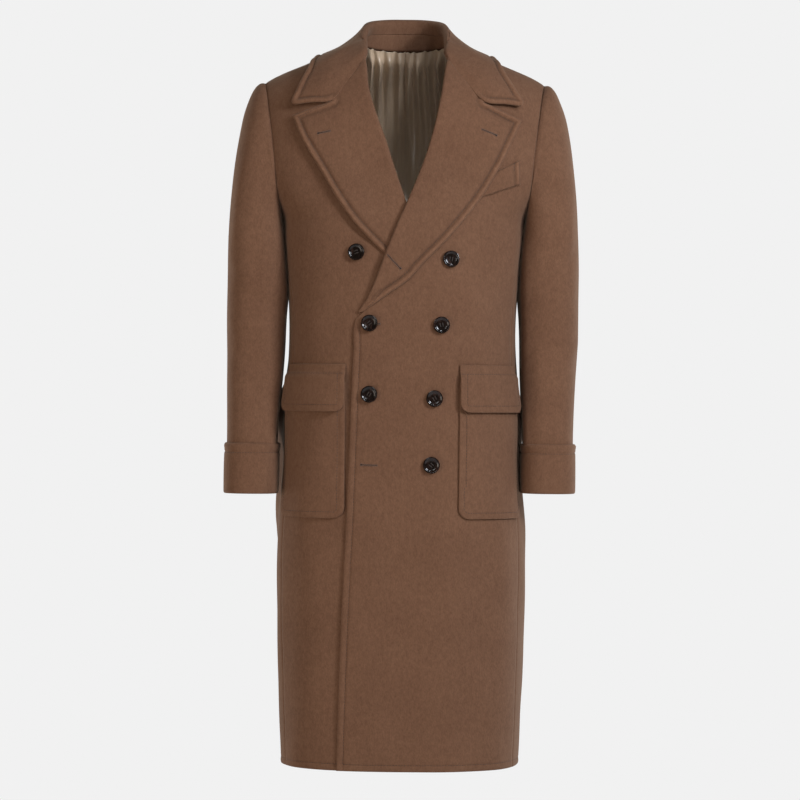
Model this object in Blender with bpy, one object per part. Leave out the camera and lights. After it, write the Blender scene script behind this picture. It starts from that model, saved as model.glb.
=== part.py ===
"""A double-breasted wool overcoat with peaked lapels, filled out as if worn, with nobody in it.

Metres, +Z up. The origin is between the shoulders, level with the back neck seam. The front faces -Y,
and +X is the wearer's left. Tables are in millimetres, one row for each section or corner.
"""
import math

import bmesh
import bpy
import numpy as np
from mathutils import Vector

MM = 0.001
LEFT, RIGHT = 1, -1
FRONT, BACK = -1, 1
LEVEL_DIGITS = 5           # levels are told apart to a hundredth of a millimetre

# Cloth thicknesses and the air between plies.
WALL = 2.4 * MM            # coat cloth
LAPEL_WALL = 3.0 * MM      # two plies, pressed
LINING_WALL = 1.0 * MM
SEAM = 0.4 * MM            # between pieces that are sewn edge to edge
PLY_AIR = 1.3 * MM         # between a panel and what lies on it
HANG_AIR = 3.2 * MM        # between the back and its lining
OVERLAP = WALL + 1.3 * MM  # the left front lies over the right one
LAPEL_BULK = 4.2 * MM      # and over the lower end of the right lapel

# Heights of the coat's main levels.
HEM = -1166 * MM
ARMPIT = -275 * MM
NECK_CENTRE = 4.5 * MM     # the back neck seam at the centre
BREAK = -436 * MM          # where the lapel starts to roll back
GORGE = -26 * MM           # where the collar meets the lapel's roll line

# The body's sections. Above the armpit the width is that of the oval which the armholes cut.
BODY = (
    # level, half width, front depth, back depth
    (60, 262, 112, 112), (-57, 262, 114, 120), (-100, 252, 116, 126), (-150, 245, 117, 130),
    (-200, 238, 119, 131), (-235, 225, 124, 131), (-260, 208, 129, 129), (-275, 199.5, 132, 128),
    (-310, 196, 136, 123), (-345, 192.3, 139, 119), (-380, 189.3, 142, 115), (-443, 185.2, 145, 112),
    (-475, 184.4, 146, 112), (-541, 188, 147, 122), (-592, 192, 147, 134), (-680, 193.5, 147, 146),
    (-770, 200, 147, 149), (-860, 202.3, 147, 150), (-967, 200.5, 147, 150), (-1098, 196.5, 146, 149),
    (-1166, 193.5, 146, 148),
)
FRONT_ROUND, BACK_ROUND = 2.6, 2.5      # superellipse powers of the sections
SECTION_STEPS = 48         # points on a quarter of a section
NORMAL_STEP = 0.6 * MM     # to the neighbours that give the surface's direction
CROWN_DEPTH, CROWN_ROUND = 160 * MM, 2.2  # how the chest and back turn in to the shoulder seam
RIDGE_HOLD = 6             # power by which only the last rows follow the shoulder seam's curve

RIDGE = (
    # distance from centre, height, depth of the shoulder seam
    (-40, 27, 12), (0, 35, 12), (40, 27, 12), (78, 10, 12), (120, -7.5, 8), (164, -26, 5),
    (221, -52.5, 0.5), (228, -57, 0), (262, -80, 0),
)
NECK_POINT = 78 * MM       # half width of the neck at the shoulder seams
SHOULDER = 228 * MM        # half width at the sleeve heads
ARMHOLE = (
    # level, distance from centre
    (-57, 228), (-90, 222.5), (-125, 217.5), (-190, 210), (-240, 205), (-260, 202), (-275, 199.5),
)
ARMHOLE_DEPTH = 72 * MM    # half of its depth, front to back

# Each front's inner edge: hem to break, then the roll line, then the neck edge.
LEFT_EDGE = (
    # level, distance from centre
    (-1166, -99), (-1022, -96), (-877, -91.4), (-733, -85.5), (-616, -82), (-494, -78), (-450, -76),
    (-436, -71.5), (-414.5, -58), (-381, -43), (-344, -30), (-304, -15), (-256, 6), (-210, 24),
    (-155, 42), (-80, 58.5), (-26, 67), (10, 78),
)
RIGHT_EDGE = (
    (-1166, -96), (-1022, -94), (-877, -90), (-733, -85), (-616, -82), (-494, -78), (-450, -75),
    (-436, -70), (-400, -55), (-350, -36), (-300, -18), (-254, -3), (-198, 16), (-155, 30),
    (-113, 44), (-75, 57.5), (-26, 67), (10, 78),
)
ROLL_ROOM = 7.5 * MM       # the panel stops this far inside its roll line, under the lapel's fold
SEAM_SHARE = 0.95          # the side seams run at this share of the half width, on the front

# Lapels: outer edges from the lower end up to the peak.
LEFT_LAPEL = (
    # distance from centre, level
    (-61, -433), (-25, -407), (9, -382.5), (31, -357), (62, -325), (93, -288), (122, -244.5),
    (148, -204), (167, -165), (185.5, -119),
)
RIGHT_LAPEL = (
    (18, -351), (30, -341), (52, -320), (79, -290.5), (106, -252.5), (133, -207), (161.5, -158),
    (180, -118),
)
NOTCH = (128 * MM, -92 * MM)
NOTCH_HOLD = 7             # power by which only the lapel's top rows bend at the notch
ROLL_CREST = 5.4 * MM      # height of the lapel's roll over the chest
LAPEL_LIE = 3.6 * MM       # height of its face where it lies flat
ROLL_FADE = 26 * MM        # how far from the roll the face settles
LAPEL_AIR = 0.6 * MM       # between the lapel and the chest
RIGHT_LAPEL_END = -276 * MM  # its hidden lower end, under the left front
FOLD = (
    # the roll, from under the cloth round to its face: distance from the roll line, outside, inside
    (5.2, -2.3, -1.7), (2.2, -2.3, -1.2), (0.2, -0.6, -0.6), (0.4, 2.0, 0.2), (2.4, 4.2, 1.0),
)
FOLD_REACH = 7.5 * MM      # where the roll ends and the face begins
FOLD_INSIDE = 5.3 * MM     # where its inner side turns back

# The collar, from the back centre to its left front end. The leaf's middle is given where it lies on
# the chest, and its neck seam by level there, by distance from the centre on the back.
COLLAR = (
    # fold across, deep, up; leaf edge across, up; middle across, up; neck seam level, across
    (0, 80, 56, 0, -30, 0, 0, 0, 0),
    (22, 77, 55.5, 38, -30.5, 0, 0, 0, 24),
    (42, 66, 53, 75, -31, 0, 0, 0, 46),
    (57, 47, 48.5, 106, -31, 0, 0, 0, 63),
    (65, 25, 42, 129, -27, 0, 0, 0, 73),
    (69, 2, 32, 144, -17.5, 0, 0, 0, 78),
    (70, -22, 19, 154, -38, 108, -16, 5, 0),
    (69.5, -46, 3, 166, -60, 115, -38, -3, 0),
    (68.5, -66, -13, 177, -80, 123, -64, -14, 0),
    (67.3, -78, -25, 184, -96, 128, -90.8, -24.5, 0),
)
COLLAR_CREST = 5 * MM      # radius of the fold
COLLAR_LIE = 4.4 * MM      # height of the leaf's face over the chest and shoulders
COLLAR_SWELL = 2.2 * MM    # its extra height beside the fold
COLLAR_HOLLOW = 4 * MM     # how far the leaf falls in between its fold and the shoulder
STAND_SHARE = 0.62         # the seam under the fold, on the way from the neck seam to the fold
STAND_GAP = 1.2 * MM       # from the stand's top to the leaf
STAND_IN, STAND_UP = 2.4 * MM, 2.8 * MM  # from the panels' edges to the stand's foot
COLLAR_STEPS = 2           # points from one given line to the next
RIDGE_REACH = 3 * MM       # the leaf is free of the body above this depth under the shoulder seam

# Sleeves below the head: the inner and outer lines as seen from the front, and the depth.
SLEEVE = (
    # level, inner line, outer line, middle depth, half depth
    (-310, 197.8, 286, 0, 77), (-350, 195, 286.9, 1, 75.8), (-395, 192.4, 287.4, 3, 73),
    (-440, 191.3, 287.7, 3, 70.5), (-490, 192.7, 287.5, 0, 67.5), (-540, 196, 286.7, -9, 63.5),
    (-590, 199.7, 285.4, -21, 60), (-640, 202.3, 284.4, -32, 57.3), (-727, 203.6, 284.8, -45, 55),
)
SLEEVE_ROUND = 2.15
SLEEVE_HEAD = (
    # share of the way out, share of the way down, from the armhole to the sleeve below
    (0, 0), (0.19, 0.009), (0.33, 0.045), (0.45, 0.105), (0.60, 0.205), (0.71, 0.32),
    (0.81, 0.46), (0.90, 0.64), (0.965, 0.82), (1, 1),
)
CUFF = (
    # level, swell
    (-645, 0.2), (-650, 0.7), (-723, 0.7), (-727, 0.2),
)
CUFF_AIR, CUFF_WALL = 0.6 * MM, 2.6 * MM

# Pockets.
POCKET_INNER = 90 * MM     # distance from centre of the inner edges
POCKET_SHARE = 0.962       # outer edges, as a share of the half width
POCKET_TOP, POCKET_END = -546 * MM, -763 * MM
POCKET_ROUND = 18 * MM
FLAP_TOP, FLAP_END = -517 * MM, -593 * MM
FLAP_ROUND = 15 * MM
PATCH_WALL = 2.6 * MM
PATCH_ROWS, PATCH_COLUMNS, CORNER_ROWS = 5, 8, 3
WELT = (
    # the top edge, then the bottom: outer end across, up; inner end across, up
    (184, -184, 154.5, -202), (186, -223, 129.5, -246.5),
)
WELT_COLUMNS = 5

# Buttons: distance from centre, level, and which front carries them.
BUTTONS = (
    (-75, -338.5, RIGHT), (-53, -452, LEFT), (-52, -565, LEFT),
    (75, -349, LEFT), (61, -454, LEFT), (51, -571, LEFT), (47, -677, LEFT),
)
BUTTON_PROFILE = (
    # radius, height
    (0, 0), (9.5, 0), (13.0, 1.4), (13.5, 3.2), (11.9, 4.6), (9.6, 3.8), (7.5, 2.9), (0, 2.7),
)
BUTTON_SIDES = 16
BUTTON_AIR = 1.2 * MM

# The back lining.
LINING_END = -1132 * MM
LINING_REACH = 150 * MM
GATHER = 15.5 * MM         # from one gather to the next along the neck seam
GATHER_DEPTH = 3.2 * MM
GATHER_END = 74 * MM       # distance from centre where the gathers stop
LINING_DROP = 13 * MM      # how far under the shoulder seams it is sewn

# How finely each piece is cut into faces.
SKIRT_ROWS, WAIST_ROWS, HEAD_ROWS = 8, 6, 10
FRONT_COLUMNS, BACK_COLUMNS = 14, 13
NECK_COLUMNS = 4           # of the back's columns, those under the neck seam
LAPEL_ROWS, LAPEL_COLUMNS = 14, 6
LINING_HEAD_ROWS, GATHER_COLUMNS, PLAIN_COLUMNS = 5, 16, 3
LINING_LEVELS = (2, 4, 5, 6, 7, 8, 10, 12)  # which of the body's rows the lining follows

MATERIALS = {
    # name: colour, roughness, metallic
    "coat cloth": ((0.152, 0.082, 0.048), 0.92, 0.0),
    "lining satin": ((0.150, 0.120, 0.088), 0.42, 0.0),
    "horn": ((0.012, 0.009, 0.007), 0.28, 0.0),
}


def clear_scene():
    """Start from an empty scene."""
    for thing in list(bpy.data.objects):
        bpy.data.objects.remove(thing, do_unlink=True)


def mix(first, second, share):
    """A value part of the way from the first to the second."""
    return first + (second - first) * share


def ease(value, start, end):
    """Rises softly from 0 at start to 1 at end."""
    share = min(max((value - start) / (end - start), 0.0), 1.0)
    return share * share * (3 - 2 * share)


def track(rows, column):
    """A smooth curve through one column of a table, as a function of its first column."""
    table = np.array(sorted((row[0], row[column]) for row in rows)) * MM
    keys, values = table[:, 0], table[:, 1]
    slopes = np.gradient(values, keys)

    def value_at(key):
        key = min(max(key, keys[0]), keys[-1])
        row = min(int(np.searchsorted(keys, key, side="right")) - 1, len(keys) - 2)
        span = keys[row + 1] - keys[row]
        share = (key - keys[row]) / span
        rise = values[row + 1] - values[row]
        lead = slopes[row] * span - rise
        tail = rise - slopes[row + 1] * span
        return values[row] + share * rise + share * (1 - share) * ((1 - share) * lead + share * tail)

    return value_at


half_width, front_depth, back_depth = (track(BODY, column) for column in (1, 2, 3))
ridge_height, ridge_depth = track(RIDGE, 1), track(RIDGE, 2)
armhole_line = track(ARMHOLE, 1)
edge_line = {LEFT: track(LEFT_EDGE, 1), RIGHT: track(RIGHT_EDGE, 1)}
sleeve_inner, sleeve_outer = track(SLEEVE, 1), track(SLEEVE, 2)
sleeve_middle, sleeve_depth = track(SLEEVE, 3), track(SLEEVE, 4)
SECTIONS = {}


def section(level):
    """Half of the body's outline at a level: girth from the front centre, across and deep."""
    key = round(level, LEVEL_DIGITS)
    if key not in SECTIONS:
        turn = np.linspace(0, math.pi / 2, SECTION_STEPS)
        outline = []
        for depth, power in ((-front_depth(level), FRONT_ROUND), (back_depth(level), BACK_ROUND)):
            across = half_width(level) * np.sin(turn) ** (2 / power)
            deep = depth * np.cos(turn).clip(0) ** (2 / power)
            outline.append(np.stack((across, deep)))
        outline = np.concatenate((outline[0], outline[1][:, -2::-1]), axis=1)
        steps = np.hypot(*np.diff(outline, axis=1))
        SECTIONS[key] = (np.concatenate(((0,), np.cumsum(steps))), outline[0], outline[1])
    return SECTIONS[key]


def around(girth, level):
    """Where a girth from the front centre falls on the outline at a level: across and deep."""
    girths, across, deep = section(level)
    reach = abs(girth)
    sign = 1 if girth >= 0 else -1
    if reach > girths[-1]:
        reach, sign = 2 * girths[-1] - reach, -sign
    return sign * float(np.interp(reach, girths, across)), float(np.interp(reach, girths, deep))


def girth_at(across, level, back=False):
    """The girth from the front centre to a distance from the centre, on the front or on the back."""
    girths, line, _ = section(level)
    side = len(girths) // 2
    if back:
        return float(np.interp(abs(across), line[:side - 1:-1], girths[:side - 1:-1]))
    return math.copysign(float(np.interp(abs(across), line[:side + 1], girths[:side + 1])), across)


def crown(drop):
    """How far the body has turned out from the shoulder seam, at a drop below it."""
    share = min(max(drop / CROWN_DEPTH, 0.0), 1.0)
    return (1 - (1 - share) ** CROWN_ROUND) ** (1 / CROWN_ROUND)


def skin(girth, level, drop=None):
    """A point of the body's outer surface."""
    across, deep = around(girth, level)
    if drop is None:
        drop = ridge_height(abs(across)) - level
    seam = ridge_depth(abs(across))
    return Vector((across, seam + (deep - seam) * crown(drop), level))


def outward(girth, level):
    """The direction that faces out of the body's surface."""
    step = NORMAL_STEP
    drop = max(ridge_height(abs(around(girth, level)[0])) - level, 0.0)

    def near(along, down):
        across = abs(around(girth + along, level)[0])
        return skin(girth + along, ridge_height(across) - drop - down, drop + down)

    along = near(step, 0) - near(-step, 0)
    down = near(0, step) - near(0, -min(step, drop))
    return down.cross(along).normalized()


def lift(girth, level, height):
    """A point at a height over the body's outer surface."""
    return skin(girth, level) + outward(girth, level) * height


def ply(side, girth, level):
    """How far a front stands out because another front, or its lapel, lies under it."""
    if side == RIGHT:
        return 0.0
    over_front = OVERLAP * (1 - ease(girth, 70 * MM, 190 * MM)) * (1 - ease(level, -236 * MM, -120 * MM))
    over_lapel = LAPEL_BULK * ease(level, -430 * MM, -362 * MM) * (1 - ease(level, -236 * MM, -170 * MM))
    return over_front + over_lapel * (1 - ease(girth, 22 * MM, 110 * MM))


def on_front(side, across, level, height):
    """A point at a height over one front's outer surface, on its own side of the coat."""
    girth = girth_at(across, level)
    return lift(girth, level, ply(side, girth, level) + height)


def mirrored(grid, side):
    """A grid of points, flipped to the other side of the coat where it belongs there."""
    return [[Vector((side * point.x, point.y, point.z)) for point in row] for row in grid]


def material(name):
    """One of the coat's materials."""
    if name in bpy.data.materials:
        return bpy.data.materials[name]
    colour, roughness, metallic = MATERIALS[name]
    made = bpy.data.materials.new(name)
    made.use_nodes = True
    shader = made.node_tree.nodes["Principled BSDF"]
    shader.inputs["Base Color"].default_value = (*colour, 1)
    shader.inputs["Roughness"].default_value = roughness
    shader.inputs["Metallic"].default_value = metallic
    return made


def add_node(name, shape, finish):
    """Close a mesh into a named object with its material."""
    bmesh.ops.recalc_face_normals(shape, faces=shape.faces)
    mesh = bpy.data.meshes.new(name)
    shape.to_mesh(mesh)
    shape.free()
    mesh.shade_smooth()
    mesh.set_sharp_from_angle(angle=math.radians(40))
    mesh.materials.append(material(finish))
    node = bpy.data.objects.new(name, mesh)
    bpy.context.collection.objects.link(node)
    return node


def add_wall(name, outer, inner, finish="coat cloth", ring=False):
    """A closed wall between two grids of points. A ring's last column joins its first."""
    shape = bmesh.new()
    skins = [[[shape.verts.new(point) for point in row] for row in grid] for grid in (outer, inner)]
    rows, columns = len(outer), len(outer[0])
    spans = columns if ring else columns - 1
    for grid in skins:
        for low, high in zip(grid, grid[1:]):
            for column in range(spans):
                after = (column + 1) % columns
                shape.faces.new((low[column], low[after], high[after], high[column]))
    for row in (0, rows - 1):
        for column in range(spans):
            after = (column + 1) % columns
            shape.faces.new((skins[0][row][column], skins[0][row][after],
                             skins[1][row][after], skins[1][row][column]))
    if not ring:
        for column in (0, columns - 1):
            for row in range(rows - 1):
                shape.faces.new((skins[0][row][column], skins[0][row + 1][column],
                                 skins[1][row + 1][column], skins[1][row][column]))
    return add_node(name, shape, finish)


def grid_normals(grid, ring=False):
    """The direction across a grid at each of its points: rows by columns, right-handed."""
    rows, columns = len(grid), len(grid[0])
    normals = []
    for row in range(rows):
        line = []
        for column in range(columns):
            if ring:
                before, after = (column - 1) % columns, (column + 1) % columns
            else:
                before, after = max(column - 1, 0), min(column + 1, columns - 1)
            across = grid[row][after] - grid[row][before]
            along = grid[min(row + 1, rows - 1)][column] - grid[max(row - 1, 0)][column]
            line.append(across.cross(along).normalized())
        normals.append(line)
    return normals


def pushed(grid, normals, depth):
    """A grid of points moved along its normals."""
    return [[point + normal * depth for point, normal in zip(line, directions)]
            for line, directions in zip(grid, normals)]


# ---------------------------------------------------------------- body

def head_level(top, share):
    """Levels of the rows between the armpit and the shoulder, close together at both ends."""
    return top - (top - ARMPIT) * math.cos(math.pi * share / 2) ** 2


def body_levels():
    """Levels of the rows below the armpit."""
    skirt = [mix(HEM, BREAK, row / SKIRT_ROWS) for row in range(SKIRT_ROWS)]
    return skirt + [mix(BREAK, ARMPIT, row / WAIST_ROWS) for row in range(WAIST_ROWS)]


def seam_girth(level):
    """The side seam, which runs up to the armpit."""
    share = mix(SEAM_SHARE, 1.0, ease(level, -470 * MM, ARMPIT))
    return girth_at(share * half_width(level), level)


def panel_edge(side, level):
    """A front panel's inner edge, which stops inside the roll line where the lapel covers it."""
    room = ROLL_ROOM * ease(level, BREAK - 12 * MM, BREAK + 2 * MM)
    room *= 1 - ease(level, GORGE, 10 * MM)
    return edge_line[side](level) + room


def front_places(side):
    """Girth, level and share of the head for every point of a front."""
    places = []
    columns = range(FRONT_COLUMNS + 1)
    for level in body_levels():
        inner = girth_at(panel_edge(side, level), level)
        outer = seam_girth(level) - SEAM / 2
        places.append([(mix(inner, outer, column / FRONT_COLUMNS), level, 0.0) for column in columns])
    top_inner, top_outer = ridge_height(NECK_POINT), ridge_height(SHOULDER)
    for row in range(HEAD_ROWS + 1):
        share = row / HEAD_ROWS
        inner_level, outer_level = head_level(top_inner, share), head_level(top_outer, share)
        inner = girth_at(panel_edge(side, inner_level), inner_level)
        gap = SEAM / 2 * (1 - ease(share, 0, 0.1))
        outer = girth_at(armhole_line(outer_level), outer_level) - gap
        line = []
        for column in columns:
            girth = mix(inner, outer, column / FRONT_COLUMNS)
            level = mix(inner_level, outer_level, column / FRONT_COLUMNS)
            level = mix(level, ridge_height(around(girth, level)[0]), share ** RIDGE_HOLD)
            line.append((girth, level, share))
        places.append(line)
    return places


def make_front(side, name):
    """A front panel, from its edge and roll line round to the side seam and the armhole."""
    outer, inner = [], []
    for line in front_places(side):
        outside, inside = [], []
        for girth, level, share in line:
            stand = ply(side, girth, level)
            nudge = Vector((0, -SEAM / 2 if share == 1 else 0, 0))
            outside.append(lift(girth, level, stand) + nudge)
            inside.append(lift(girth, level, stand - WALL) + nudge)
        outer.append(outside)
        inner.append(inside)
    return add_wall(name, mirrored(outer, side), mirrored(inner, side))


def neck_level(across):
    """Level of the back neck seam."""
    return mix(NECK_CENTRE, ridge_height(NECK_POINT), (min(across, NECK_POINT) / NECK_POINT) ** 2)


def back_share(column):
    """Share of the way from the back centre to the armhole, with a column at the neck point."""
    if column <= NECK_COLUMNS:
        return math.sin(math.pi / 2 * column / NECK_COLUMNS) * NECK_POINT / SHOULDER
    rest = (column - NECK_COLUMNS) / (BACK_COLUMNS - NECK_COLUMNS)
    return mix(NECK_POINT / SHOULDER, 1, rest)


def back_places():
    """Girth, level and share of the head for every point of a back half."""
    places = []
    for level in body_levels():
        centre = section(level)[0][-1] - SEAM / 2
        side = seam_girth(level) + SEAM / 2
        places.append([(mix(centre, side, back_share(column)), level, 0.0)
                       for column in range(BACK_COLUMNS + 1)])
    for row in range(HEAD_ROWS + 1):
        share = row / HEAD_ROWS
        centre_level = head_level(NECK_CENTRE, share)
        outer_level = head_level(ridge_height(SHOULDER), share)
        line = []
        for column in range(BACK_COLUMNS + 1):
            part = back_share(column)
            level = mix(centre_level, outer_level, part)
            across = mix(SEAM / 2, armhole_line(outer_level), part)
            top = neck_level(across) if part * SHOULDER <= NECK_POINT + MM else ridge_height(across)
            level = mix(level, top, share ** RIDGE_HOLD)
            girth = girth_at(across, level, back=True) + SEAM / 2 * (1 - ease(share, 0, 0.1)) * part
            line.append((girth, level, share if across >= NECK_POINT - MM else 0.0))
        places.append(line)
    return places


def make_back(side, name):
    """Half of the back, from the centre seam to the side seam and the armhole."""
    outer, inner = [], []
    for line in back_places():
        nudges = [Vector((0, SEAM / 2 if share == 1 else 0, 0)) for _, _, share in line]
        outer.append([lift(girth, level, 0) + nudge for (girth, level, _), nudge in zip(line, nudges)])
        inner.append([lift(girth, level, -WALL) + nudge for (girth, level, _), nudge in zip(line, nudges)])
    return add_wall(name, mirrored(outer, side), mirrored(inner, side))


# ---------------------------------------------------------------- sleeves

def sleeve_turns():
    """Each column of a sleeve: share of the way from the armpit to the top, and front or back."""
    up = [(step / HEAD_ROWS, FRONT) for step in range(HEAD_ROWS + 1)]
    down = [(step / HEAD_ROWS, BACK) for step in range(HEAD_ROWS - 1, 0, -1)]
    return up + down


def armhole_point(share, face):
    """A point of the sleeve's seam, just outside the armhole, and the direction out of the sleeve."""
    level = head_level(ridge_height(SHOULDER), share)
    girth = girth_at(armhole_line(level), level, back=face == BACK)
    point = lift(girth, level, 0)
    middle = (ridge_height(SHOULDER) + ARMPIT) / 2
    tall = (ridge_height(SHOULDER) - ARMPIT) / 2
    facing = Vector((0, point.y / ARMHOLE_DEPTH ** 2, (level - middle) / tall ** 2)).normalized()
    return point + Vector((2 * SEAM, 0, 0)), facing


def sleeve_ring(level, grow=0.0):
    """A sleeve's outline at a level, grown outwards for what lies over it."""
    middle = (sleeve_inner(level) + sleeve_outer(level)) / 2
    wide = (sleeve_outer(level) - sleeve_inner(level)) / 2 + grow
    deep = sleeve_depth(level) + grow
    ring = []
    for share, face in sleeve_turns():
        turn = math.pi * share
        across = math.copysign(abs(math.cos(turn)) ** (2 / SLEEVE_ROUND), -math.cos(turn))
        ring.append(Vector((middle + wide * across,
                            sleeve_middle(level) + face * deep * abs(math.sin(turn)) ** (2 / SLEEVE_ROUND),
                            level)))
    return ring


def make_sleeve(side, name):
    """A set-in sleeve: the head turns down from the armhole, and the rest hangs."""
    turns = sleeve_turns()
    starts = [armhole_point(share, face) for share, face in turns]
    below = sleeve_ring(SLEEVE[0][0] * MM)
    outer = []
    for row, (out, down) in enumerate(SLEEVE_HEAD):
        even = row / (len(SLEEVE_HEAD) - 1)
        ring = []
        for (share, _), (start, _), end in zip(turns, starts, below):
            top = ease(share, 0, 0.6)
            ring.append(Vector((mix(start.x, end.x, mix(even, out, top)),
                                mix(start.y, end.y, mix(even, out, top)),
                                mix(start.z, end.z, mix(even, down, top)))))
        outer.append(ring)
    outer += [sleeve_ring(row[0] * MM) for row in SLEEVE[1:]]
    normals = grid_normals(outer, ring=True)
    normals = [[-normal for normal in line] for line in normals]
    normals[0] = [facing for _, facing in starts]
    normals[1] = [(first + second).normalized() for first, second in zip(normals[0], normals[1])]
    inner = pushed(outer, normals, -WALL)
    return add_wall(name, mirrored(outer, side), mirrored(inner, side), ring=True)


def make_cuff(side, name):
    """A turn-back cuff round the end of a sleeve."""
    inner = [sleeve_ring(level * MM, CUFF_AIR) for level, _ in CUFF]
    outer = [sleeve_ring(level * MM, CUFF_AIR + CUFF_WALL + swell * MM) for level, swell in CUFF]
    return add_wall(name, mirrored(outer, side), mirrored(inner, side), ring=True)


# ---------------------------------------------------------------- lapels and collar

def line_through(points):
    """A function that walks along corners, by share of the length."""
    corners = [Vector((across * MM, up * MM)) for across, up in points]
    lengths = np.concatenate(((0,), np.cumsum([(b - a).length for a, b in zip(corners, corners[1:])])))
    shares = lengths / lengths[-1]

    def point_at(share):
        return Vector((float(np.interp(share, shares, [corner.x for corner in corners])),
                       float(np.interp(share, shares, [corner.y for corner in corners]))))

    return point_at


def lapel_row(side, share):
    """Corners of a lapel's line across, from the roll line to the outer edge: across and level."""
    end = BREAK if side == LEFT else RIGHT_LAPEL_END
    level = mix(end, GORGE, share)
    roll = Vector((edge_line[side](level), level))
    edge = line_through(LEFT_LAPEL if side == LEFT else RIGHT_LAPEL)(share)
    return roll, edge


def lapel_point(side, share, part):
    """Across and level of a point of a lapel, which bends at the notch along its top."""
    roll, edge = lapel_row(side, share)
    notch = (NOTCH[0] - roll.x) / (edge.x - roll.x)
    chord = mix(roll.y, edge.y, notch)
    bend = 1 - abs(part - notch) / (notch if part < notch else 1 - notch)
    place = roll.lerp(edge, part)
    place.y += (NOTCH[1] - SEAM - chord) * bend * share ** NOTCH_HOLD
    return place


def make_lapel(side, name):
    """A lapel, folded back along the roll line and lying on the chest."""
    outer, inner = [], []
    for row in range(LAPEL_ROWS + 1):
        share = row / LAPEL_ROWS
        roll, edge = lapel_row(side, share)
        width = (edge - roll).length
        flat = 1 if side == LEFT else ease(share, 0.06, 0.3)
        crest = mix(LAPEL_LIE, ROLL_CREST, flat)
        outside, inside = [], []
        for away, top, under in FOLD:
            place = lapel_point(side, share, min(away * MM / width, 0.6))
            outside.append(on_front(side, place.x, place.y, min(top * MM, crest - LAPEL_AIR)))
            place = lapel_point(side, share, min(FOLD_INSIDE / width, 0.7))
            inside.append(on_front(side, place.x, place.y, under * MM))
        for column in range(LAPEL_COLUMNS + 1):
            part = mix(min(FOLD_REACH / width, 0.75), 1, column / LAPEL_COLUMNS)
            place = lapel_point(side, share, part)
            height = mix(LAPEL_LIE, crest, math.exp(-part * width / ROLL_FADE))
            outside.append(on_front(side, place.x, place.y, height))
            inside.append(on_front(side, place.x, place.y, max(height - LAPEL_WALL, LAPEL_AIR)))
        outer.append(outside)
        inner.append(inside)
    return add_wall(name, mirrored(outer, side), mirrored(inner, side))


def body_point(across, level, face, height):
    """A point over the body, on its front or its back."""
    if face == FRONT:
        return on_front(LEFT, across, level, height)
    return lift(girth_at(across, level, back=True), level, height)


def bend_through(points, steps):
    """Points along a smooth curve through the given ones."""
    padded = [points[0] * 2 - points[1]] + list(points) + [points[-1] * 2 - points[-2]]
    path = []
    for before, start, end, after in zip(padded, padded[1:], padded[2:], padded[3:]):
        for step in range(steps):
            share = step / steps
            path.append(0.5 * (2 * start + (end - before) * share
                               + (2 * before - 5 * start + 4 * end - after) * share ** 2
                               + (3 * start - before - 3 * end + after) * share ** 3))
    return path + [points[-1]]


def neck_seam(across, level):
    """A point of the neck seam, just clear of the body's edge: by level on the front, else by distance.

    It is on the inside, where the stand's wall starts.
    """
    if level:
        return body_point(panel_edge(LEFT, level) - STAND_IN, level, FRONT, -WALL)
    return body_point(across, neck_level(across), BACK, -WALL) + Vector((0, 0, STAND_UP))


def gorge_leaf(fold, middle, edge):
    """The collar's front end: the roll's section, then straight along the gorge and the leaf's end."""
    start, notch, tip = (Vector((point.x, point.z)) for point in (fold, middle, edge))
    along = (notch - start).normalized()
    line = [(start + along * away * MM, top * MM) for away, top, _ in FOLD]
    line += [(start + along * FOLD_REACH, ROLL_CREST)]
    line += [(start.lerp(notch, share), COLLAR_LIE) for share in (0.4, 0.7, 1)]
    line += [(notch.lerp(tip, share), COLLAR_LIE) for share in (0.5, 1)]
    return [on_front(LEFT, place.x, place.y, height) for place, height in line]


def collar_path(row):
    """The neck seam's point of one row of half the collar, and its line from the seam under the fold."""
    values = [value * MM for value in COLLAR[row]]
    fold = Vector(values[:3])
    edge_x, edge_z, mid_x, mid_z, seam_z, seam_x = values[3:]
    edge = body_point(edge_x, edge_z, FRONT if seam_z else BACK, COLLAR_LIE)
    seam = neck_seam(seam_x, seam_z)
    out = Vector((edge.x - fold.x, edge.y - fold.y, 0)).normalized()
    drop = Vector((0, 0, COLLAR_CREST))
    leg = fold - out * COLLAR_CREST - drop
    shoulder = fold + out * COLLAR_CREST - drop
    under = seam.lerp(leg, STAND_SHARE)
    if mid_x:
        middle = on_front(LEFT, mid_x, mid_z, COLLAR_LIE + COLLAR_SWELL)
    else:
        middle = shoulder.lerp(edge, 0.5) - (Vector((0, 0, 1)) + out * 0.7) * COLLAR_HOLLOW
    if row == len(COLLAR) - 1:
        return seam, gorge_leaf(fold, middle, edge)
    return seam, bend_through((under, leg, fold, shoulder, middle, edge), COLLAR_STEPS)


def cleared(point):
    """A point of the leaf, kept over the chest, the shoulder or the back."""
    drop = ridge_height(point.x) - point.z
    if drop < RIDGE_REACH:
        return point
    face = BACK if point.y > ridge_depth(point.x) else FRONT
    nearest = body_point(point.x, point.z, face, COLLAR_LIE)
    if face * (nearest.y - point.y) > 0:
        return nearest
    return point


def both_halves(half):
    """A grid of left-side rows continued to the right side, from the right front to the left front."""
    other = [[Vector((-point.x, point.y, point.z)) for point in row] for row in half[:0:-1]]
    return other + half


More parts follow.
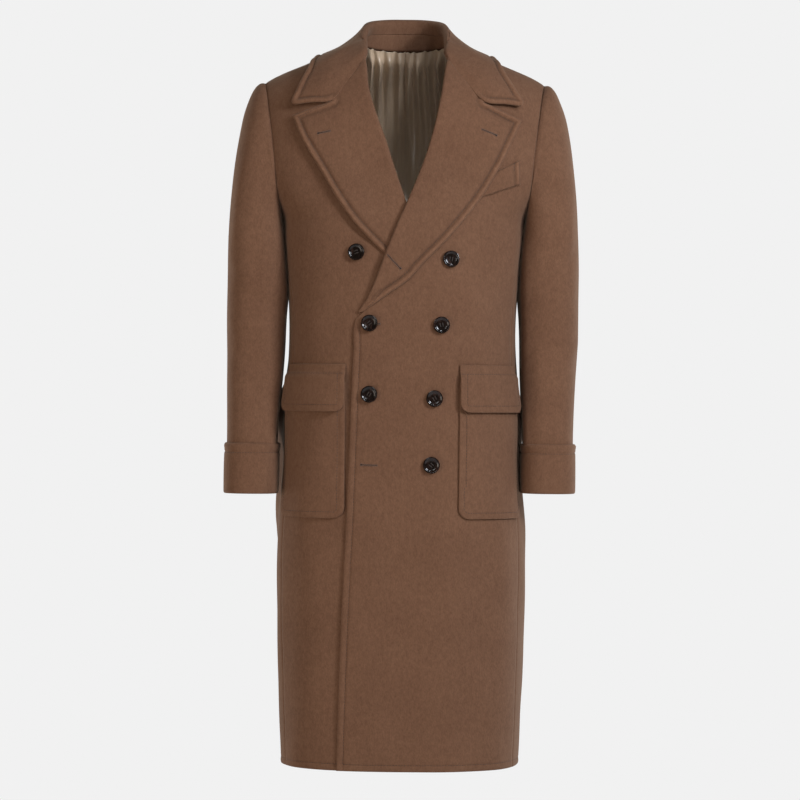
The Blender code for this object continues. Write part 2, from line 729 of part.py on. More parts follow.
def make_collar():
    """The collar's leaf, over its fold and down on the shoulders and lapels, and the stand inside it."""
    seams, leaves = zip(*(collar_path(row) for row in range(len(COLLAR))))
    leaves = list(zip(*(bend_through(column, COLLAR_STEPS) for column in zip(*leaves))))
    beyond_fold = 2 * COLLAR_STEPS + 1
    leaves = [list(row[:beyond_fold]) + [cleared(point) for point in row[beyond_fold:]] for row in leaves]
    outer = both_halves(leaves)
    inner = pushed(outer, grid_normals(outer), -LAPEL_WALL)
    add_wall("collar", outer, inner)

    stand = []
    for seam, leaf in zip(bend_through(seams, COLLAR_STEPS), leaves):
        top = leaf[0] + (seam - leaf[0]).normalized() * STAND_GAP
        stand.append([seam, seam.lerp(top, 0.5), top])
    outer = both_halves(stand)
    inner = pushed(outer, grid_normals(outer), -WALL)
    add_wall("collar_stand", outer, inner)


# ---------------------------------------------------------------- lining

def lining_columns():
    """Distances from the centre of the lining's columns, close together where it is gathered."""
    gathered = [mix(SEAM, GATHER_END, step / GATHER_COLUMNS) for step in range(GATHER_COLUMNS)]
    plain = [mix(GATHER_END, LINING_REACH, step / PLAIN_COLUMNS) for step in range(PLAIN_COLUMNS + 1)]
    return gathered + plain


def make_lining(side, name):
    """Half of the back lining: gathered along the neck seam, its folds fading downwards."""
    outer, inner = [], []
    levels = [LINING_END] + [body_levels()[row] for row in LINING_LEVELS] + [ARMPIT]
    rows = [(level, 0) for level in levels]
    rows += [(ARMPIT, step / LINING_HEAD_ROWS) for step in range(1, LINING_HEAD_ROWS + 1)]
    for base, share in rows:
        outside, inside = [], []
        for across in lining_columns():
            top = neck_level(across) if across < NECK_POINT else ridge_height(across)
            top -= mix(MM, LINING_DROP, ease(across, NECK_POINT - 16 * MM, NECK_POINT))
            level = mix(base, top, math.sin(math.pi / 2 * share))
            girth = girth_at(across, level, back=True)
            fold = 0.5 - 0.5 * math.cos(2 * math.pi * across / GATHER)
            depth = GATHER_DEPTH * fold * mix(0.3, 1, ease(level, -480 * MM, -60 * MM))
            depth *= 1 - ease(across, NECK_POINT - 12 * MM, NECK_POINT + 10 * MM)
            outside.append(lift(girth, level, -WALL - HANG_AIR - depth))
            inside.append(lift(girth, level, -WALL - HANG_AIR - depth - LINING_WALL))
        outer.append(outside)
        inner.append(inside)
    return add_wall(name, mirrored(outer, side), mirrored(inner, side), finish="lining satin")


# ---------------------------------------------------------------- buttons

def make_buttons():
    """Turned buttons with a raised rim, each on the front that carries it."""
    for number, (across, level, side) in enumerate(BUTTONS, start=1):
        place = on_front(side, side * across * MM, level * MM, BUTTON_AIR)
        girth = girth_at(side * across * MM, level * MM)
        facing = outward(girth, level * MM)
        place.x *= side
        facing.x *= side
        turn = facing.to_track_quat("Z", "Y")
        shape = bmesh.new()
        rings = []
        for radius, height in BUTTON_PROFILE[1:-1]:
            ring = []
            for step in range(BUTTON_SIDES):
                angle = 2 * math.pi * step / BUTTON_SIDES
                local = Vector((radius * math.cos(angle), radius * math.sin(angle), height)) * MM
                ring.append(shape.verts.new(place + turn @ local))
            rings.append(ring)
        for low, high in zip(rings, rings[1:]):
            for step in range(BUTTON_SIDES):
                after = (step + 1) % BUTTON_SIDES
                shape.faces.new((low[step], low[after], high[after], high[step]))
        shape.faces.new(rings[0])
        centre = shape.verts.new(place + turn @ Vector((0, 0, BUTTON_PROFILE[-1][1] * MM)))
        for step in range(BUTTON_SIDES):
            shape.faces.new((rings[-1][step], rings[-1][(step + 1) % BUTTON_SIDES], centre))
        add_node(f"button_{number}", shape, "horn")


# ---------------------------------------------------------------- pockets

def rounded_patch(side, top, end, radius, heights):
    """A pocket or flap: outer and inner grids between the pocket edges, lower corners rounded."""
    outer, inner = [], []
    levels = [mix(top, end + radius, row / PATCH_ROWS) for row in range(PATCH_ROWS + 1)]
    levels += [end + radius * (1 - math.sin(math.pi / 2 * step / CORNER_ROWS))
               for step in range(1, CORNER_ROWS + 1)]
    for level in levels:
        cut = max(end + radius - level, 0.0)
        inset = radius - math.sqrt(max(radius ** 2 - cut ** 2, 0.0))
        start = girth_at(POCKET_INNER, level) + inset
        stop = girth_at(POCKET_SHARE * half_width(level), level) - inset
        outside, inside = [], []
        for column in range(PATCH_COLUMNS + 1):
            girth = mix(start, stop, column / PATCH_COLUMNS)
            base = ply(side, girth, level) + heights(level)
            outside.append(lift(girth, level, base + PATCH_WALL))
            inside.append(lift(girth, level, base))
        outer.append(outside)
        inner.append(inside)
    return mirrored(outer, side), mirrored(inner, side)


def make_pocket(side, name):
    """A patch pocket that reaches round to the side."""
    grids = rounded_patch(side, POCKET_TOP, POCKET_END, POCKET_ROUND, lambda level: PLY_AIR)
    return add_wall(name, *grids)


def make_flap(side, name):
    """A flap over a pocket's mouth: sewn to the front above it, then lying on the pocket."""
    over = PATCH_WALL + 2 * PLY_AIR

    def heights(level):
        return mix(over, PLY_AIR, ease(level, POCKET_TOP + 8 * MM, POCKET_TOP + 20 * MM))

    return add_wall(name, *rounded_patch(side, FLAP_TOP, FLAP_END, FLAP_ROUND, heights))


def make_welt():
    """The chest pocket's welt, from beside the armhole to the lapel's edge."""
    outer, inner = [], []
    for across, up, inner_across, inner_up in WELT:
        outside, inside = [], []
        for column in range(WELT_COLUMNS + 1):
            share = column / WELT_COLUMNS
            place = (mix(inner_across, across, share) * MM, mix(inner_up, up, share) * MM)
            outside.append(on_front(LEFT, *place, PLY_AIR + PATCH_WALL))
            inside.append(on_front(LEFT, *place, PLY_AIR))
        outer.append(outside)
        inner.append(inside)
    return add_wall("chest_welt", outer, inner)


clear_scene()
for hand, label in ((LEFT, "left"), (RIGHT, "right")):
    make_front(hand, f"{label}_front")
    make_back(hand, f"back_{label}")
    make_sleeve(hand, f"{label}_sleeve")
    make_cuff(hand, f"{label}_cuff")
    make_lapel(hand, f"{label}_lapel")
    make_pocket(hand, f"{label}_pocket")
    make_flap(hand, f"{label}_flap")
make_welt()
make_collar()
make_lining(LEFT, "lining_left")
make_lining(RIGHT, "lining_right")
make_buttons()
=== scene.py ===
"""The looks of a double-breasted wool overcoat with peaked lapels, filled out as if on a wearer.

Metres, +Z up. The origin is between the shoulders, level with the back neck seam. The front faces -Y,
and +X is the wearer's left. Tables are in millimetres, one row for each section, corner or crease.
"""

import math

import bmesh
import bpy
import numpy as np
from mathutils import Matrix, Vector
from mathutils.bvhtree import BVHTree


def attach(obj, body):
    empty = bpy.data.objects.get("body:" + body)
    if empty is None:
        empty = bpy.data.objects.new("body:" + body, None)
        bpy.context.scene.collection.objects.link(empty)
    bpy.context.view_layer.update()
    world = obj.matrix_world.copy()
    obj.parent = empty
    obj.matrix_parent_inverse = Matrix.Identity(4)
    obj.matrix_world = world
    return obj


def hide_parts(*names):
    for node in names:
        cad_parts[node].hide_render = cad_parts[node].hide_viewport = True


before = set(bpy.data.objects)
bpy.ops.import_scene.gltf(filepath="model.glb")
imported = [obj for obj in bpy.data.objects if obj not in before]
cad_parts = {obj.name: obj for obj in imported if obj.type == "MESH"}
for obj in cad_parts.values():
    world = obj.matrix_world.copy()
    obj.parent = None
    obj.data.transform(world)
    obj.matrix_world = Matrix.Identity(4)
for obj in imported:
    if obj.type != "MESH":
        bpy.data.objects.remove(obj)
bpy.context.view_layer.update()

MM = 0.001
LEFT, RIGHT = 1, -1
FRONT, BACK = -1, 1
NAMES = {LEFT: "left", RIGHT: "right"}

# Cloth thicknesses and the air between plies.
WALL = 2.4 * MM            # coat cloth
LAPEL_WALL = 3.0 * MM      # two plies, pressed
LINING_WALL = 0.8 * MM
SEAM = -0.3 * MM           # pieces that are sewn edge to edge press into each other by this much
PLY_AIR = 1.3 * MM         # between a panel and what lies on it
HANG_AIR = 3.2 * MM        # between the back and its lining
OVERLAP = WALL + 1.3 * MM  # the left front lies over the right one
LAPEL_BULK = 4.2 * MM      # and over the lower end of the right lapel
CLEAR = 12 * MM            # over every ply: lines are brought down onto the cloth from here

# Heights of the coat's main levels.
HEM = -1166 * MM
ARMPIT = -275 * MM
NECK_CENTRE = 4.5 * MM     # the back neck seam at the centre
BREAK = -436 * MM          # where the lapel starts to roll back
GORGE = -25.2 * MM         # where the collar meets the lapel's roll line

# The body's sections. Above the armpit the width is that of the oval which the armholes cut.
BODY = (
    # level, half width, front depth, back depth
    (60, 262, 112, 112), (-57, 262, 114, 120), (-100, 252, 116, 126), (-150, 245, 117, 130),
    (-200, 238, 119, 131), (-235, 225, 124, 131), (-260, 208, 129, 129), (-275, 199.5, 132, 128),
    (-310, 196, 136, 123), (-345, 192.3, 139, 119), (-380, 189.3, 142, 115), (-443, 185.2, 145, 112),
    (-475, 184.4, 146, 112), (-541, 188, 147, 122), (-592, 192, 147, 134), (-680, 193.5, 147, 146),
    (-770, 200, 147, 149), (-860, 202.3, 147, 150), (-967, 200.5, 147, 150), (-1098, 196.5, 146, 149),
    (-1166, 193.5, 146, 148),
)
FRONT_ROUND, BACK_ROUND = 2.6, 2.5      # superellipse powers of the sections
SECTION_STEPS = 96         # points on a quarter of a section
LEVEL_STEP = 2 * MM        # from one tabled section to the next
GIRTH_STEPS = 400          # tabled points on half a section
SEARCH_STEPS = 26          # halvings that find a girth
NORMAL_STEP = 0.6 * MM     # to the neighbours that give the surface's direction
CROWN_DEPTH, CROWN_ROUND = 160 * MM, 2.2  # how the chest and back turn in to the shoulder seam
RIDGE_HOLD = 6             # power by which only the last rows follow the shoulder seam's curve
CALM = 40 * MM             # creases fade out this far from the centre front and back
OVERLAP_FADE = (70 * MM, 190 * MM), (-236 * MM, -120 * MM)  # girths, levels where the overlap fades
BULK_FADE = (22 * MM, 110 * MM), (-236 * MM, -170 * MM)     # the same for the rise over the right lapel
BULK_START = (-430 * MM, -362 * MM)

RIDGE = (
    # distance from centre, height, depth of the shoulder seam
    (-40, 27, 12), (0, 35, 12), (40, 27, 12), (78, 10, 12), (120, -7.5, 8), (164, -26, 5),
    (221, -52.5, 0.5), (228, -57, 0), (262, -80, 0),
)
NECK_POINT = 78 * MM       # half width of the neck at the shoulder seams
SHOULDER = 228 * MM        # half width at the sleeve heads
ARMHOLE = (
    # level, distance from centre
    (-57, 228), (-90, 222.5), (-125, 217.5), (-190, 210), (-240, 205), (-260, 202), (-275, 199.5),
)

# Each front's inner edge: hem to break, then the roll line, then the neck edge.
LEFT_EDGE = (
    # level, distance from centre
    (-1166, -99), (-1022, -96), (-877, -91.4), (-733, -85.5), (-616, -82), (-494, -78), (-450, -76),
    (-436, -71.5), (-414.5, -58), (-381, -43), (-344, -30), (-304, -15), (-256, 6), (-210, 24),
    (-155, 42), (-80, 58.5), (-26, 67), (10, 78),
)
RIGHT_EDGE = (
    (-1166, -96), (-1022, -94), (-877, -90), (-733, -85), (-616, -82), (-494, -78), (-450, -75),
    (-436, -70), (-400, -55), (-350, -36), (-300, -18), (-254, -3), (-198, 16), (-155, 30),
    (-113, 45.5), (-75, 57), (-25, 63.5), (10, 75),
)
ROLL_ROOM = 7.5 * MM       # the panel stops this far inside its roll line, under the lapel's fold
ROLL_ROOM_START = (BREAK - 12 * MM, BREAK + 2 * MM)
ROLL_ROOM_END = (GORGE, 10 * MM)
SEAM_RISE = (-470 * MM, ARMPIT)  # levels where the side seam turns out to the armpit
EDGE_FADE = (BREAK - 24 * MM, BREAK - 4 * MM)  # levels where the front edge's roll fades out
EDGE_STITCH_END = BREAK - 22 * MM
SEAM_SHARE = 0.95          # the side seams run at this share of the half width, on the front

# Lapels: outer edges from the lower end up to the peak.
LEFT_LAPEL = (
    # distance from centre, level
    (-61, -433), (-25, -407), (9, -382.5), (31, -357), (62, -325), (93, -288), (125, -245.5),
    (149.5, -203.5), (168.5, -165), (188, -122),
)
RIGHT_LAPEL = (
    (18, -351), (30, -341), (52, -320), (79, -290.5), (106, -252.5), (133, -207), (161.5, -158),
    (179, -118.5),
)
NOTCH = {LEFT: (126 * MM, -95 * MM), RIGHT: (116 * MM, -94.8 * MM)}
NOTCH_INSIDE = 0.8         # lower down the bend stays within this part of the width
NOTCH_HOLD = 7             # power by which only the lapel's top rows bend at the notch
ROLL_CREST = 5.4 * MM      # height of the lapel's roll over the chest
LAPEL_LIE = 3.6 * MM       # height of its face where it lies flat
LAPEL_STAND = {LEFT: 1.4 * MM, RIGHT: 4.5 * MM}   # its outer edge stands off the chest by this much more
ROLL_FADE = 26 * MM        # how far from the roll the face settles
LAPEL_AIR = 0.6 * MM       # between the lapel and the chest
LAPEL_START = 0.4          # share of its height at the lower end, where it grows out of the front
LAPEL_RISE = (0, 0.07)     # shares of its length where it comes to its full height
LAPEL_FLAT = (0.06, 0.3)   # the same for the right one, which is pressed flat under the left front
LAPEL_LONG = 430 * MM      # its length, for the spacing of its top rows
RIGHT_LAPEL_END = -276 * MM  # its hidden lower end, under the left front
FOLD = (
    # the roll, from under the cloth round to its face: distance from the roll line, outside, inside
    (5.2, -2.3, -1.7), (2.2, -2.3, -1.2), (0.2, -0.6, -0.6), (0.4, 2.0, 0.2), (2.4, 4.2, 1.0),
)
FOLD_REACH = 7.5 * MM      # where the roll ends and the face begins
FOLD_INSIDE = 5.3 * MM     # where its inner side turns back
FOLD_MOST = (0.6, 0.7, 0.75)  # most of a narrow width that the fold, its inner side and its reach take
FOLD_UNDER = 1.6 * MM      # height of the inner side there

# The collar, from the back centre to its left front end. The leaf's middle is given where it lies on
# the chest, and its neck seam by level there, by distance from the centre on the back.
COLLAR = (
    # fold across, deep, up; leaf edge across, up; middle across, up; neck seam level, across
    (0, 80, 56, 0, -30, 0, 0, 0, 0),
    (22, 77, 55.5, 38, -30.5, 0, 0, 0, 24),
    (42, 66, 53, 75, -31, 0, 0, 0, 46),
    (57, 47, 48.5, 106, -31, 0, 0, 0, 63),
    (65, 25, 42, 129, -27, 0, 0, 0, 73),
    (69, 2, 32, 144, -17.5, 0, 0, 0, 78),
    (70, -22, 19, 154, -38, 108, -16, 5, 0),
    (69.5, -46, 3, 166, -60, 115, -38, -3, 0),
    (68.5, -66, -13, 177, -80, 123, -64, -14, 0),
    (67.3, -78, -25.6, 184, -96, 128, -96, -24.5, 0),
)
COLLAR_CREST = 5 * MM      # radius of the fold
COLLAR_SIDES = {
    # for the last rows: extra across of the fold, extra across and up of the leaf's edge, share of the radius
    LEFT: {6: (0, 0, 0, 0.95), 7: (0, 0, 0, 0.8), 8: (-0.5, 2.5, -2, 0.55), 9: (-0.3, 6, -9.5, 1)},
    RIGHT: {6: (-0.5, -1, -1, 0.95), 7: (-1.5, -2, -2, 0.8), 8: (-3, -3, -5, 0.55),
            9: (-3.5, -3.8, -10.5, 1)},
}
TIP_ROUND = 8 * MM         # radius of the collar's corners
COLLAR_LIE = 4.4 * MM      # height of the leaf's face over the chest and shoulders
COLLAR_SWELL = 2.2 * MM    # its extra height beside the fold
COLLAR_HOLLOW = 4 * MM     # how far the leaf falls in between its fold and the shoulder
STAND_SHARE = 0.62         # the seam under the fold, on the way from the neck seam to the fold
STAND_GAP = -0.4 * MM      # the stand's top laps the leaf
STAND_IN, STAND_UP = 2.4 * MM, 2.8 * MM  # from the panels' edges to the stand's foot
RIDGE_REACH = 3 * MM       # the leaf is free of the body above this depth under the shoulder seam
GORGE_DIP = 0.35 * MM      # how far the pressed seam between collar and lapel turns in
NET_STEPS = 2              # points from one given point of a collar line to the next
COLLAR_ROW_STEPS, COLLAR_COLUMN_STEPS = 18, 5
FINE_ROWS = 22             # the rows nearest each front end are kept twice as close as the rest
LEAF_COLUMNS = 9
COLLAR_LEVEL_OUT = 30 * MM  # from the gorge, where the leaf is level with the lapel, to where it is over it
COLLAR_SOFT = 3 * MM       # how softly the leaf comes to lie on the body
COLLAR_STAND_OFF = 4.5 * MM  # its edge stands off the chest by this much more at its tips
NOTCH_COLUMN = 8           # of the collar's lines, the one that reaches the notch

# Sleeves below the head: the inner and outer lines as seen from the front, and the depth.
SLEEVE = (
    # level, inner line, outer line, middle depth, half depth
    (-310, 192.4, 286, 0, 77), (-350, 188.6, 286.9, 1, 75.8), (-395, 186.9, 287.4, 3, 73),
    (-440, 190.2, 287.7, 3, 70.5), (-490, 192.7, 287.5, 0, 67.5), (-540, 196, 286.7, -9, 63.5),
    (-590, 199.7, 285.4, -21, 60), (-640, 202.3, 284.4, -32, 57.3), (-727, 203.6, 284.8, -45, 55),
)
SLEEVE_ROUND = 2.7
SLEEVE_HANG = {
    # level, shift across, shift up: how each sleeve hangs against the body
    LEFT: ((-727, -6.2, 4.2), (-640, -5.6, 1.8), (-600, -5.2, 1), (-540, -3.6, 0), (-470, -1, 0),
           (-400, 0, 0), (-300, 0, 0)),
    RIGHT: ((-727, -0.8, 0.4), (-640, -0.6, 0), (-540, -0.4, 0), (-400, 0, 0), (-300, 0, 0)),
}
SLEEVE_HEAD = (
    # share of the way out, share of the way down, from the armhole to the sleeve below
    (0, 0), (0.19, 0.009), (0.33, 0.045), (0.45, 0.105), (0.60, 0.205), (0.71, 0.32),
    (0.81, 0.46), (0.90, 0.64), (0.965, 0.82), (1, 1),
)
SLEEVE_TURN = 62 * MM      # mean radius, for the creases round it
HEAD_SWELL, HEAD_SWELL_AT, HEAD_SWELL_WIDE = 0.7 * MM, 7 * MM, 4 * MM   # the head's fullness beside its seam
HEAD_CALM = 60 * MM        # creases begin this far from the seam
HEAD_PRESS = 20 * MM       # the inner side follows them from here on
CUFF = (
    # level, swell
    (-645, 0.2), (-650, 0.7), (-723, 0.7), (-727, 0.2),
)
CUFF_AIR, CUFF_WALL = 0.6 * MM, 2.6 * MM
CUFF_STITCH = 14.5 * MM    # below the cuff's top
CUFF_TOP_STEPS = (0, 2.2, 3.8, 6, 9, 12, 13.6, 14.5, 15.4, 17, 20)
CUFF_END_STEPS = (0, 2.4, 4, 7)
CUFF_SWELL = 0.5 * MM      # how far it is filled out, and how uneven its outline is

# Pockets.
POCKET_INNER = 90 * MM     # distance from centre of the inner edges
POCKET_SHARE = 0.962       # outer edges, as a share of the half width
POCKET_TOP, POCKET_END = -546 * MM, -763 * MM
POCKET_ROUND = 18 * MM
FLAP_TOP, FLAP_END = -517 * MM, -593 * MM
FLAP_ROUND = 15 * MM
FLAP_STITCH = 12 * MM      # below the flap's top
FLAP_OVER = 1.6 * MM       # between the pocket and the flap, more than between other plies
FLAP_LIFT = (POCKET_TOP + 6 * MM, POCKET_TOP + 22 * MM)  # levels where it comes down from the pocket
FLAP_SPRING = 2.2 * MM     # how far its lower edge springs out
FLAP_GROOVE = 0.6          # share of a full groove along its top stitching
POCKET_FILL = 1.6 * MM     # how far a pocket is filled out
PATCH_WALL = 2.6 * MM
WELT = (
    # the top edge, then the bottom: outer end across, up; inner end across, up
    (184, -186, 142, -208.5), (185.6, -225.2, 113, -252.5),
)
WELT_STITCH = 10 * MM      # from the welt's outer end
WELT_PRESS = 0.5           # share of a lapel's swell beside that stitching
WELT_SEAM_SHADE, WELT_SEAM_WIDE = 3.4, 1.6 * MM   # painted shade in the seam round it: how strong, in millimetres of the shading scale, and how wide
WELT_SUNK = 0.3            # share of its height at the inner end, under the lapel
WELT_RISE = (0.1, 0.45)    # shares of its length where it comes up from there
WELT_CROWN = 0.4 * MM

# Buttons: distance from centre, level, and which front carries them.
BUTTONS = (
    (-75, -338.5, RIGHT), (-53, -452, LEFT), (-52, -565, LEFT),
    (75, -349, LEFT), (61, -454, LEFT), (51, -571, LEFT), (47, -677, LEFT),
)
BUTTON_PROFILE = (
    # radius, height
    (8.6, 0), (11.8, 0.3), (13.0, 1.3), (13.45, 2.5), (13.3, 3.7), (12.7, 4.45), (11.8, 4.65),
    (10.9, 4.3), (10.1, 3.6), (9.2, 3.05), (7.6, 2.75), (4.0, 2.6), (1.0, 2.6),
)
BUTTON_SIDES = 48
BUTTON_AIR = 1.2 * MM
BUTTON_TURN = 0.35         # radians from one button to the next
HOLE_AWAY, HOLE_RADIUS, HOLE_SIDES = 2.9 * MM, 1.15 * MM, 16
HOLE_FLOOR, HOLE_TOP = -1, 8     # heights that the thread holes are cut between, in millimetres
STRANDS, STRAND_APART, STRAND_LONG = (-1, 0, 1), 0.42 * MM, 7.2 * MM    # of thread from hole to hole
STRAND_UP = 0.25           # over the button's face, in millimetres
SHANK_STRANDS, SHANK_RADIUS, SHANK_UP, SHANK_LONG = 9, 2.0 * MM, 0.7 * MM, 4.2 * MM
STRAND_THICK = 0.8 * MM

# Buttonholes: on a front or lapel, from the eye's end to the far end.
BUTTONHOLES = (
    # piece, eye across, level; far end across, level
    ("left_front", -65, -677.5, -38, -678.5),
    ("left_front", -64, -452.5, -35, -453),
    ("left_front", -63, -565.5, -40, -566),
    ("left_lapel", -3.6, -367, -26, -343),
    ("left_lapel", 147.7, -148.5, 122.5, -138.8),
    ("right_lapel", 138.0, -148.3, 117.5, -143.5),
)
SLIT_POINTS, SLIT_AIM = 24, 10 * MM     # brought down onto the cloth from this height
SLIT_HALF, SLIT_UP, SLIT_DEEP = 0.32 * MM, 0.12 * MM, 0.6 * MM
EYE_HALF, EYE_AT, EYE_WIDE = 0.95 * MM, 1.4 * MM, 1.3 * MM
PURL_OUT, PURL_PITCH, PURL_LONG, PURL_THICK = 0.75 * MM, 0.85 * MM, 1.7 * MM, 0.72 * MM   # stitches
PURL_UP = 0.1 * MM

# The back lining.
LINING_END = -1132 * MM
LINING_REACH = 150 * MM
GATHER_END = 74 * MM       # distance from centre where the gathers stop
LINING_DROP = 13 * MM      # how far under the shoulder seams it is sewn
LINING_RISE = 3.4 * MM     # and how far up behind the stand's foot
GATHER_DEPTH = 2.5         # how much deeper the gathers are than tabled
GATHER_OPEN = 2.2          # how many times as wide they are at their ends
GATHER_FADE = 0.8          # power by which they grow shallow
GATHER_WAVE, GATHER_WAVE_LONG = 1.2, 31 * MM   # they don't run quite straight
GATHERS = {
    # where a gather starts along the neck seam, half its width, its depth, the level where it ends,
    # and how far it has drifted out by then
    LEFT: ((7, 5.5, 6.0, -340, 6), (24, 6.5, 7.0, -400, 8), (43, 5.5, 5.5, -300, 4), (60, 5.0, 6.0, -330, 5)),
    RIGHT: ((9, 6.5, 7.0, -330, 4), (28, 6.5, 6.0, -300, 7), (46, 6.0, 7.0, -380, 3),
            (62, 4.5, 5.0, -220, -2)),
}
PUCKER, PUCKER_WIDE, PUCKER_LONG = 0.9 * MM, 1.5 * MM, 9 * MM   # small gathers right below the neck seam
PLEAT, PLEAT_WIDE = 2.0 * MM, 5 * MM           # at the centre, for ease
SLACK, SLACK_WIDE, SLACK_LONG = 0.8 * MM, 23 * MM, 60 * MM      # a slow unevenness
SEWN_AIR, SEWN_HOLLOW = 0.2 * MM, 0.22         # its height and the share of its hollows where it is sewn on
SEWN_FADE = 12 * MM, 16 * MM                   # how far below the seam they reach their full size
NECK_CALM = (NECK_POINT + 4 * MM, NECK_POINT + 30 * MM)     # where its hollows end, beside the neck
NECK_TURN = (NECK_POINT - 10 * MM, NECK_POINT + 2 * MM)     # where its top turns to the shoulder seam
PAINTED_SHADE_HOLLOW, PAINTED_LIGHT_MOST = 2.2, 3.5             # for the lining's painted light and shade: the middle hollow, left at its plain colour, and the highest crest, in millimetres

# Soft creases. A hollow has a negative height.
BODY_CREASES = {
    # start girth, start level, end girth, end level, half width, height
    LEFT: (
        (62, -1150, 84, -640, 30, 1.0), (120, -1166, 128, -790, 26, -1.2), (176, -1166, 168, -800, 24, 1.1),
        (232, -1120, 214, -560, 28, -1.6), (196, -300, 150, -262, 18, -1.3), (205, -420, 120, -470, 22, -1.0),
        (150, -380, 215, -330, 16, 0.8), (285, -1166, 282, -700, 26, 2.4), (330, -1166, 322, -620, 24, -3.0),
        (382, -1166, 372, -540, 26, 2.6), (440, -1166, 436, -700, 30, -2.0), (300, -560, 390, -470, 20, -1.8),
        (320, -500, 420, -425, 18, 1.4), (352, -300, 330, -150, 16, -2.2), (385, -330, 372, -130, 18, 1.6),
        (450, -420, 505, -360, 20, -1.0), (330, -750, 328, -585, 34, 12.0),
    ),
    RIGHT: (
        (96, -1166, 100, -760, 28, -1.0), (150, -1150, 140, -780, 28, 1.1), (206, -1166, 196, -640, 26, -1.4),
        (244, -1000, 226, -500, 24, 1.4), (186, -310, 140, -250, 18, -1.2), (190, -400, 110, -455, 20, -1.0),
        (296, -1166, 290, -660, 28, -2.4), (340, -1166, 336, -720, 24, 2.6),
        (396, -1166, 380, -560, 26, -3.0), (450, -1130, 446, -640, 28, 2.2),
        (296, -540, 380, -455, 18, -1.6), (330, -470, 430, -410, 18, 1.2),
        (350, -290, 334, -140, 16, -2.0), (388, -310, 380, -120, 18, 1.4), (452, -400, 510, -350, 20, -1.0),
        (330, -755, 328, -580, 35, 16.5), (284, -630, 284, -545, 16, 2.2),
    ),
}
SLEEVE_CREASES = {
    # start turn in degrees (0 is beside the body, 90 the front), start level, end turn, end level,
    # half width, height
    LEFT: (
        (38, -330, 40, -640, 16, 4.5), (60, -150, 96, -260, 12, -1.4),
        (150, -170, 128, -300, 13, 1.2), (70, -395, 140, -330, 12, -1.5),
        (50, -430, 130, -395, 11, 1.5), (48, -470, 128, -452, 12, -2.0), (64, -520, 150, -486, 12, 1.6),
        (60, -575, 120, -540, 12, -1.2), (210, -420, 300, -455, 14, -2.0), (220, -470, 310, -500, 13, 1.8),
        (230, -540, 320, -545, 13, -1.5), (260, -180, 250, -320, 14, -1.6), (300, -200, 290, -330, 13, 1.4),
    ),
    RIGHT: (
        (40, -320, 38, -640, 16, 4.5), (80, -140, 70, -270, 12, -1.3),
        (120, -190, 140, -320, 13, 1.2), (58, -380, 138, -350, 12, 1.4),
        (54, -425, 120, -402, 12, -1.8), (50, -480, 132, -448, 12, 1.6), (66, -515, 140, -500, 12, -1.5),
        (70, -590, 126, -556, 12, 1.0), (215, -400, 305, -440, 14, 1.8), (225, -455, 300, -480, 13, -2.0),
        (235, -520, 325, -535, 13, 1.4), (255, -190, 262, -330, 14, 1.4), (295, -190, 300, -310, 13, -1.6),
    ),
}
SWAYS = (
    # length across, length up, phase, height: a slight unevenness all over
    (92, 310, 0.4, 0.3), (57, 190, 2.1, 0.2), (143, 120, 4.0, 0.22),
)

# The rolled edge outside a row of stitching, and the stitching.
STITCH_IN = 10.5 * MM
EDGE_STEPS = (0, 2.2, 3.6, 5.2, 7, 8.6, 9.8, 10.6, 11.4, 12.6, 14.5, 17.5)     # rows beside a free edge
SEAM_STEPS = (0, 2.0, 3.4, 5.5, 9)                                             # and beside a sewn one
STITCH_POINT = EDGE_STEPS.index(10.6)      # the row that the stitching follows, from the edge
STITCH_ROW = -1 - STITCH_POINT             # and where the edge is the grid's end
SEAM_DIP, SEAM_WIDE = 0.7 * MM, 2.4 * MM   # how deep and wide the cloth turns in at a plain seam
ROLL_HEIGHT, ROLL_AT, ROLL_WIDE = 1.0 * MM, 4.6 * MM, 3.0 * MM
GROOVE_DEPTH, GROOVE_WIDE = 1.1 * MM, 1.6 * MM
FACING_BULK = 1.8          # how much bolder this is on the lapels, which have two bulky plies
COLLAR_BULK = 1.4          # and on the collar
PATCH_PRESS = 0.4          # share of this that the pockets and flaps show
HEM_PRESS = 0.5            # and the hem
STITCH_PITCH, STITCH_LENGTH, STITCH_THICK = 4.6 * MM, 3.2 * MM, 0.75 * MM
STITCH_UP = 0.0375 * MM    # its middle lies this high, so that half of it is sunk in the cloth
RIM_ANGLES = (45, 90, 135)
SEWN_RIM = 0.1             # share of a full rounding that a sewn edge gets
ALL = 10 ** 6              # more points than any edge has
NOT_SEWN = {}

# How finely each piece is cut into faces.
PLAIN_STEP = 6 * MM
HEAD_ROWS = 64
FRONT_COLUMNS, BACK_COLUMNS = 38, 42
SLEEVE_COLUMNS, SLEEVE_HEAD_ROWS, SLEEVE_ROWS = 116, 44, 84
CUFF_ROWS = 9
LAPEL_ROWS, LAPEL_COLUMNS, FOLD_STEPS = 84, 24, 4
PATCH_COLUMNS, PATCH_ROWS, CORNER_ROWS = 30, 30, 8
PATCH_LINE = 40, 12, 30    # points of its stitching line: down a side, round a corner, along the end
STAND_COLUMNS = 8
WELT_ROWS, WELT_COLUMNS = 16, 44
LINING_ROWS, GATHER_COLUMNS, PLAIN_COLUMNS = 110, 60, 14


# ---------------------------------------------------------------- shape of the body

def mix(first, second, share):
    """A value part of the way from the first to the second."""
    return first + (second - first) * share


def ease(value, start, end):
    """Rises softly from 0 at start to 1 at end."""
    share = np.clip((value - start) / (end - start), 0.0, 1.0)
    return share * share * (3 - 2 * share)


def unit(vectors):
    """Vectors brought to length one."""
    return vectors / np.maximum(np.linalg.norm(vectors, axis=-1, keepdims=True), 1e-12)


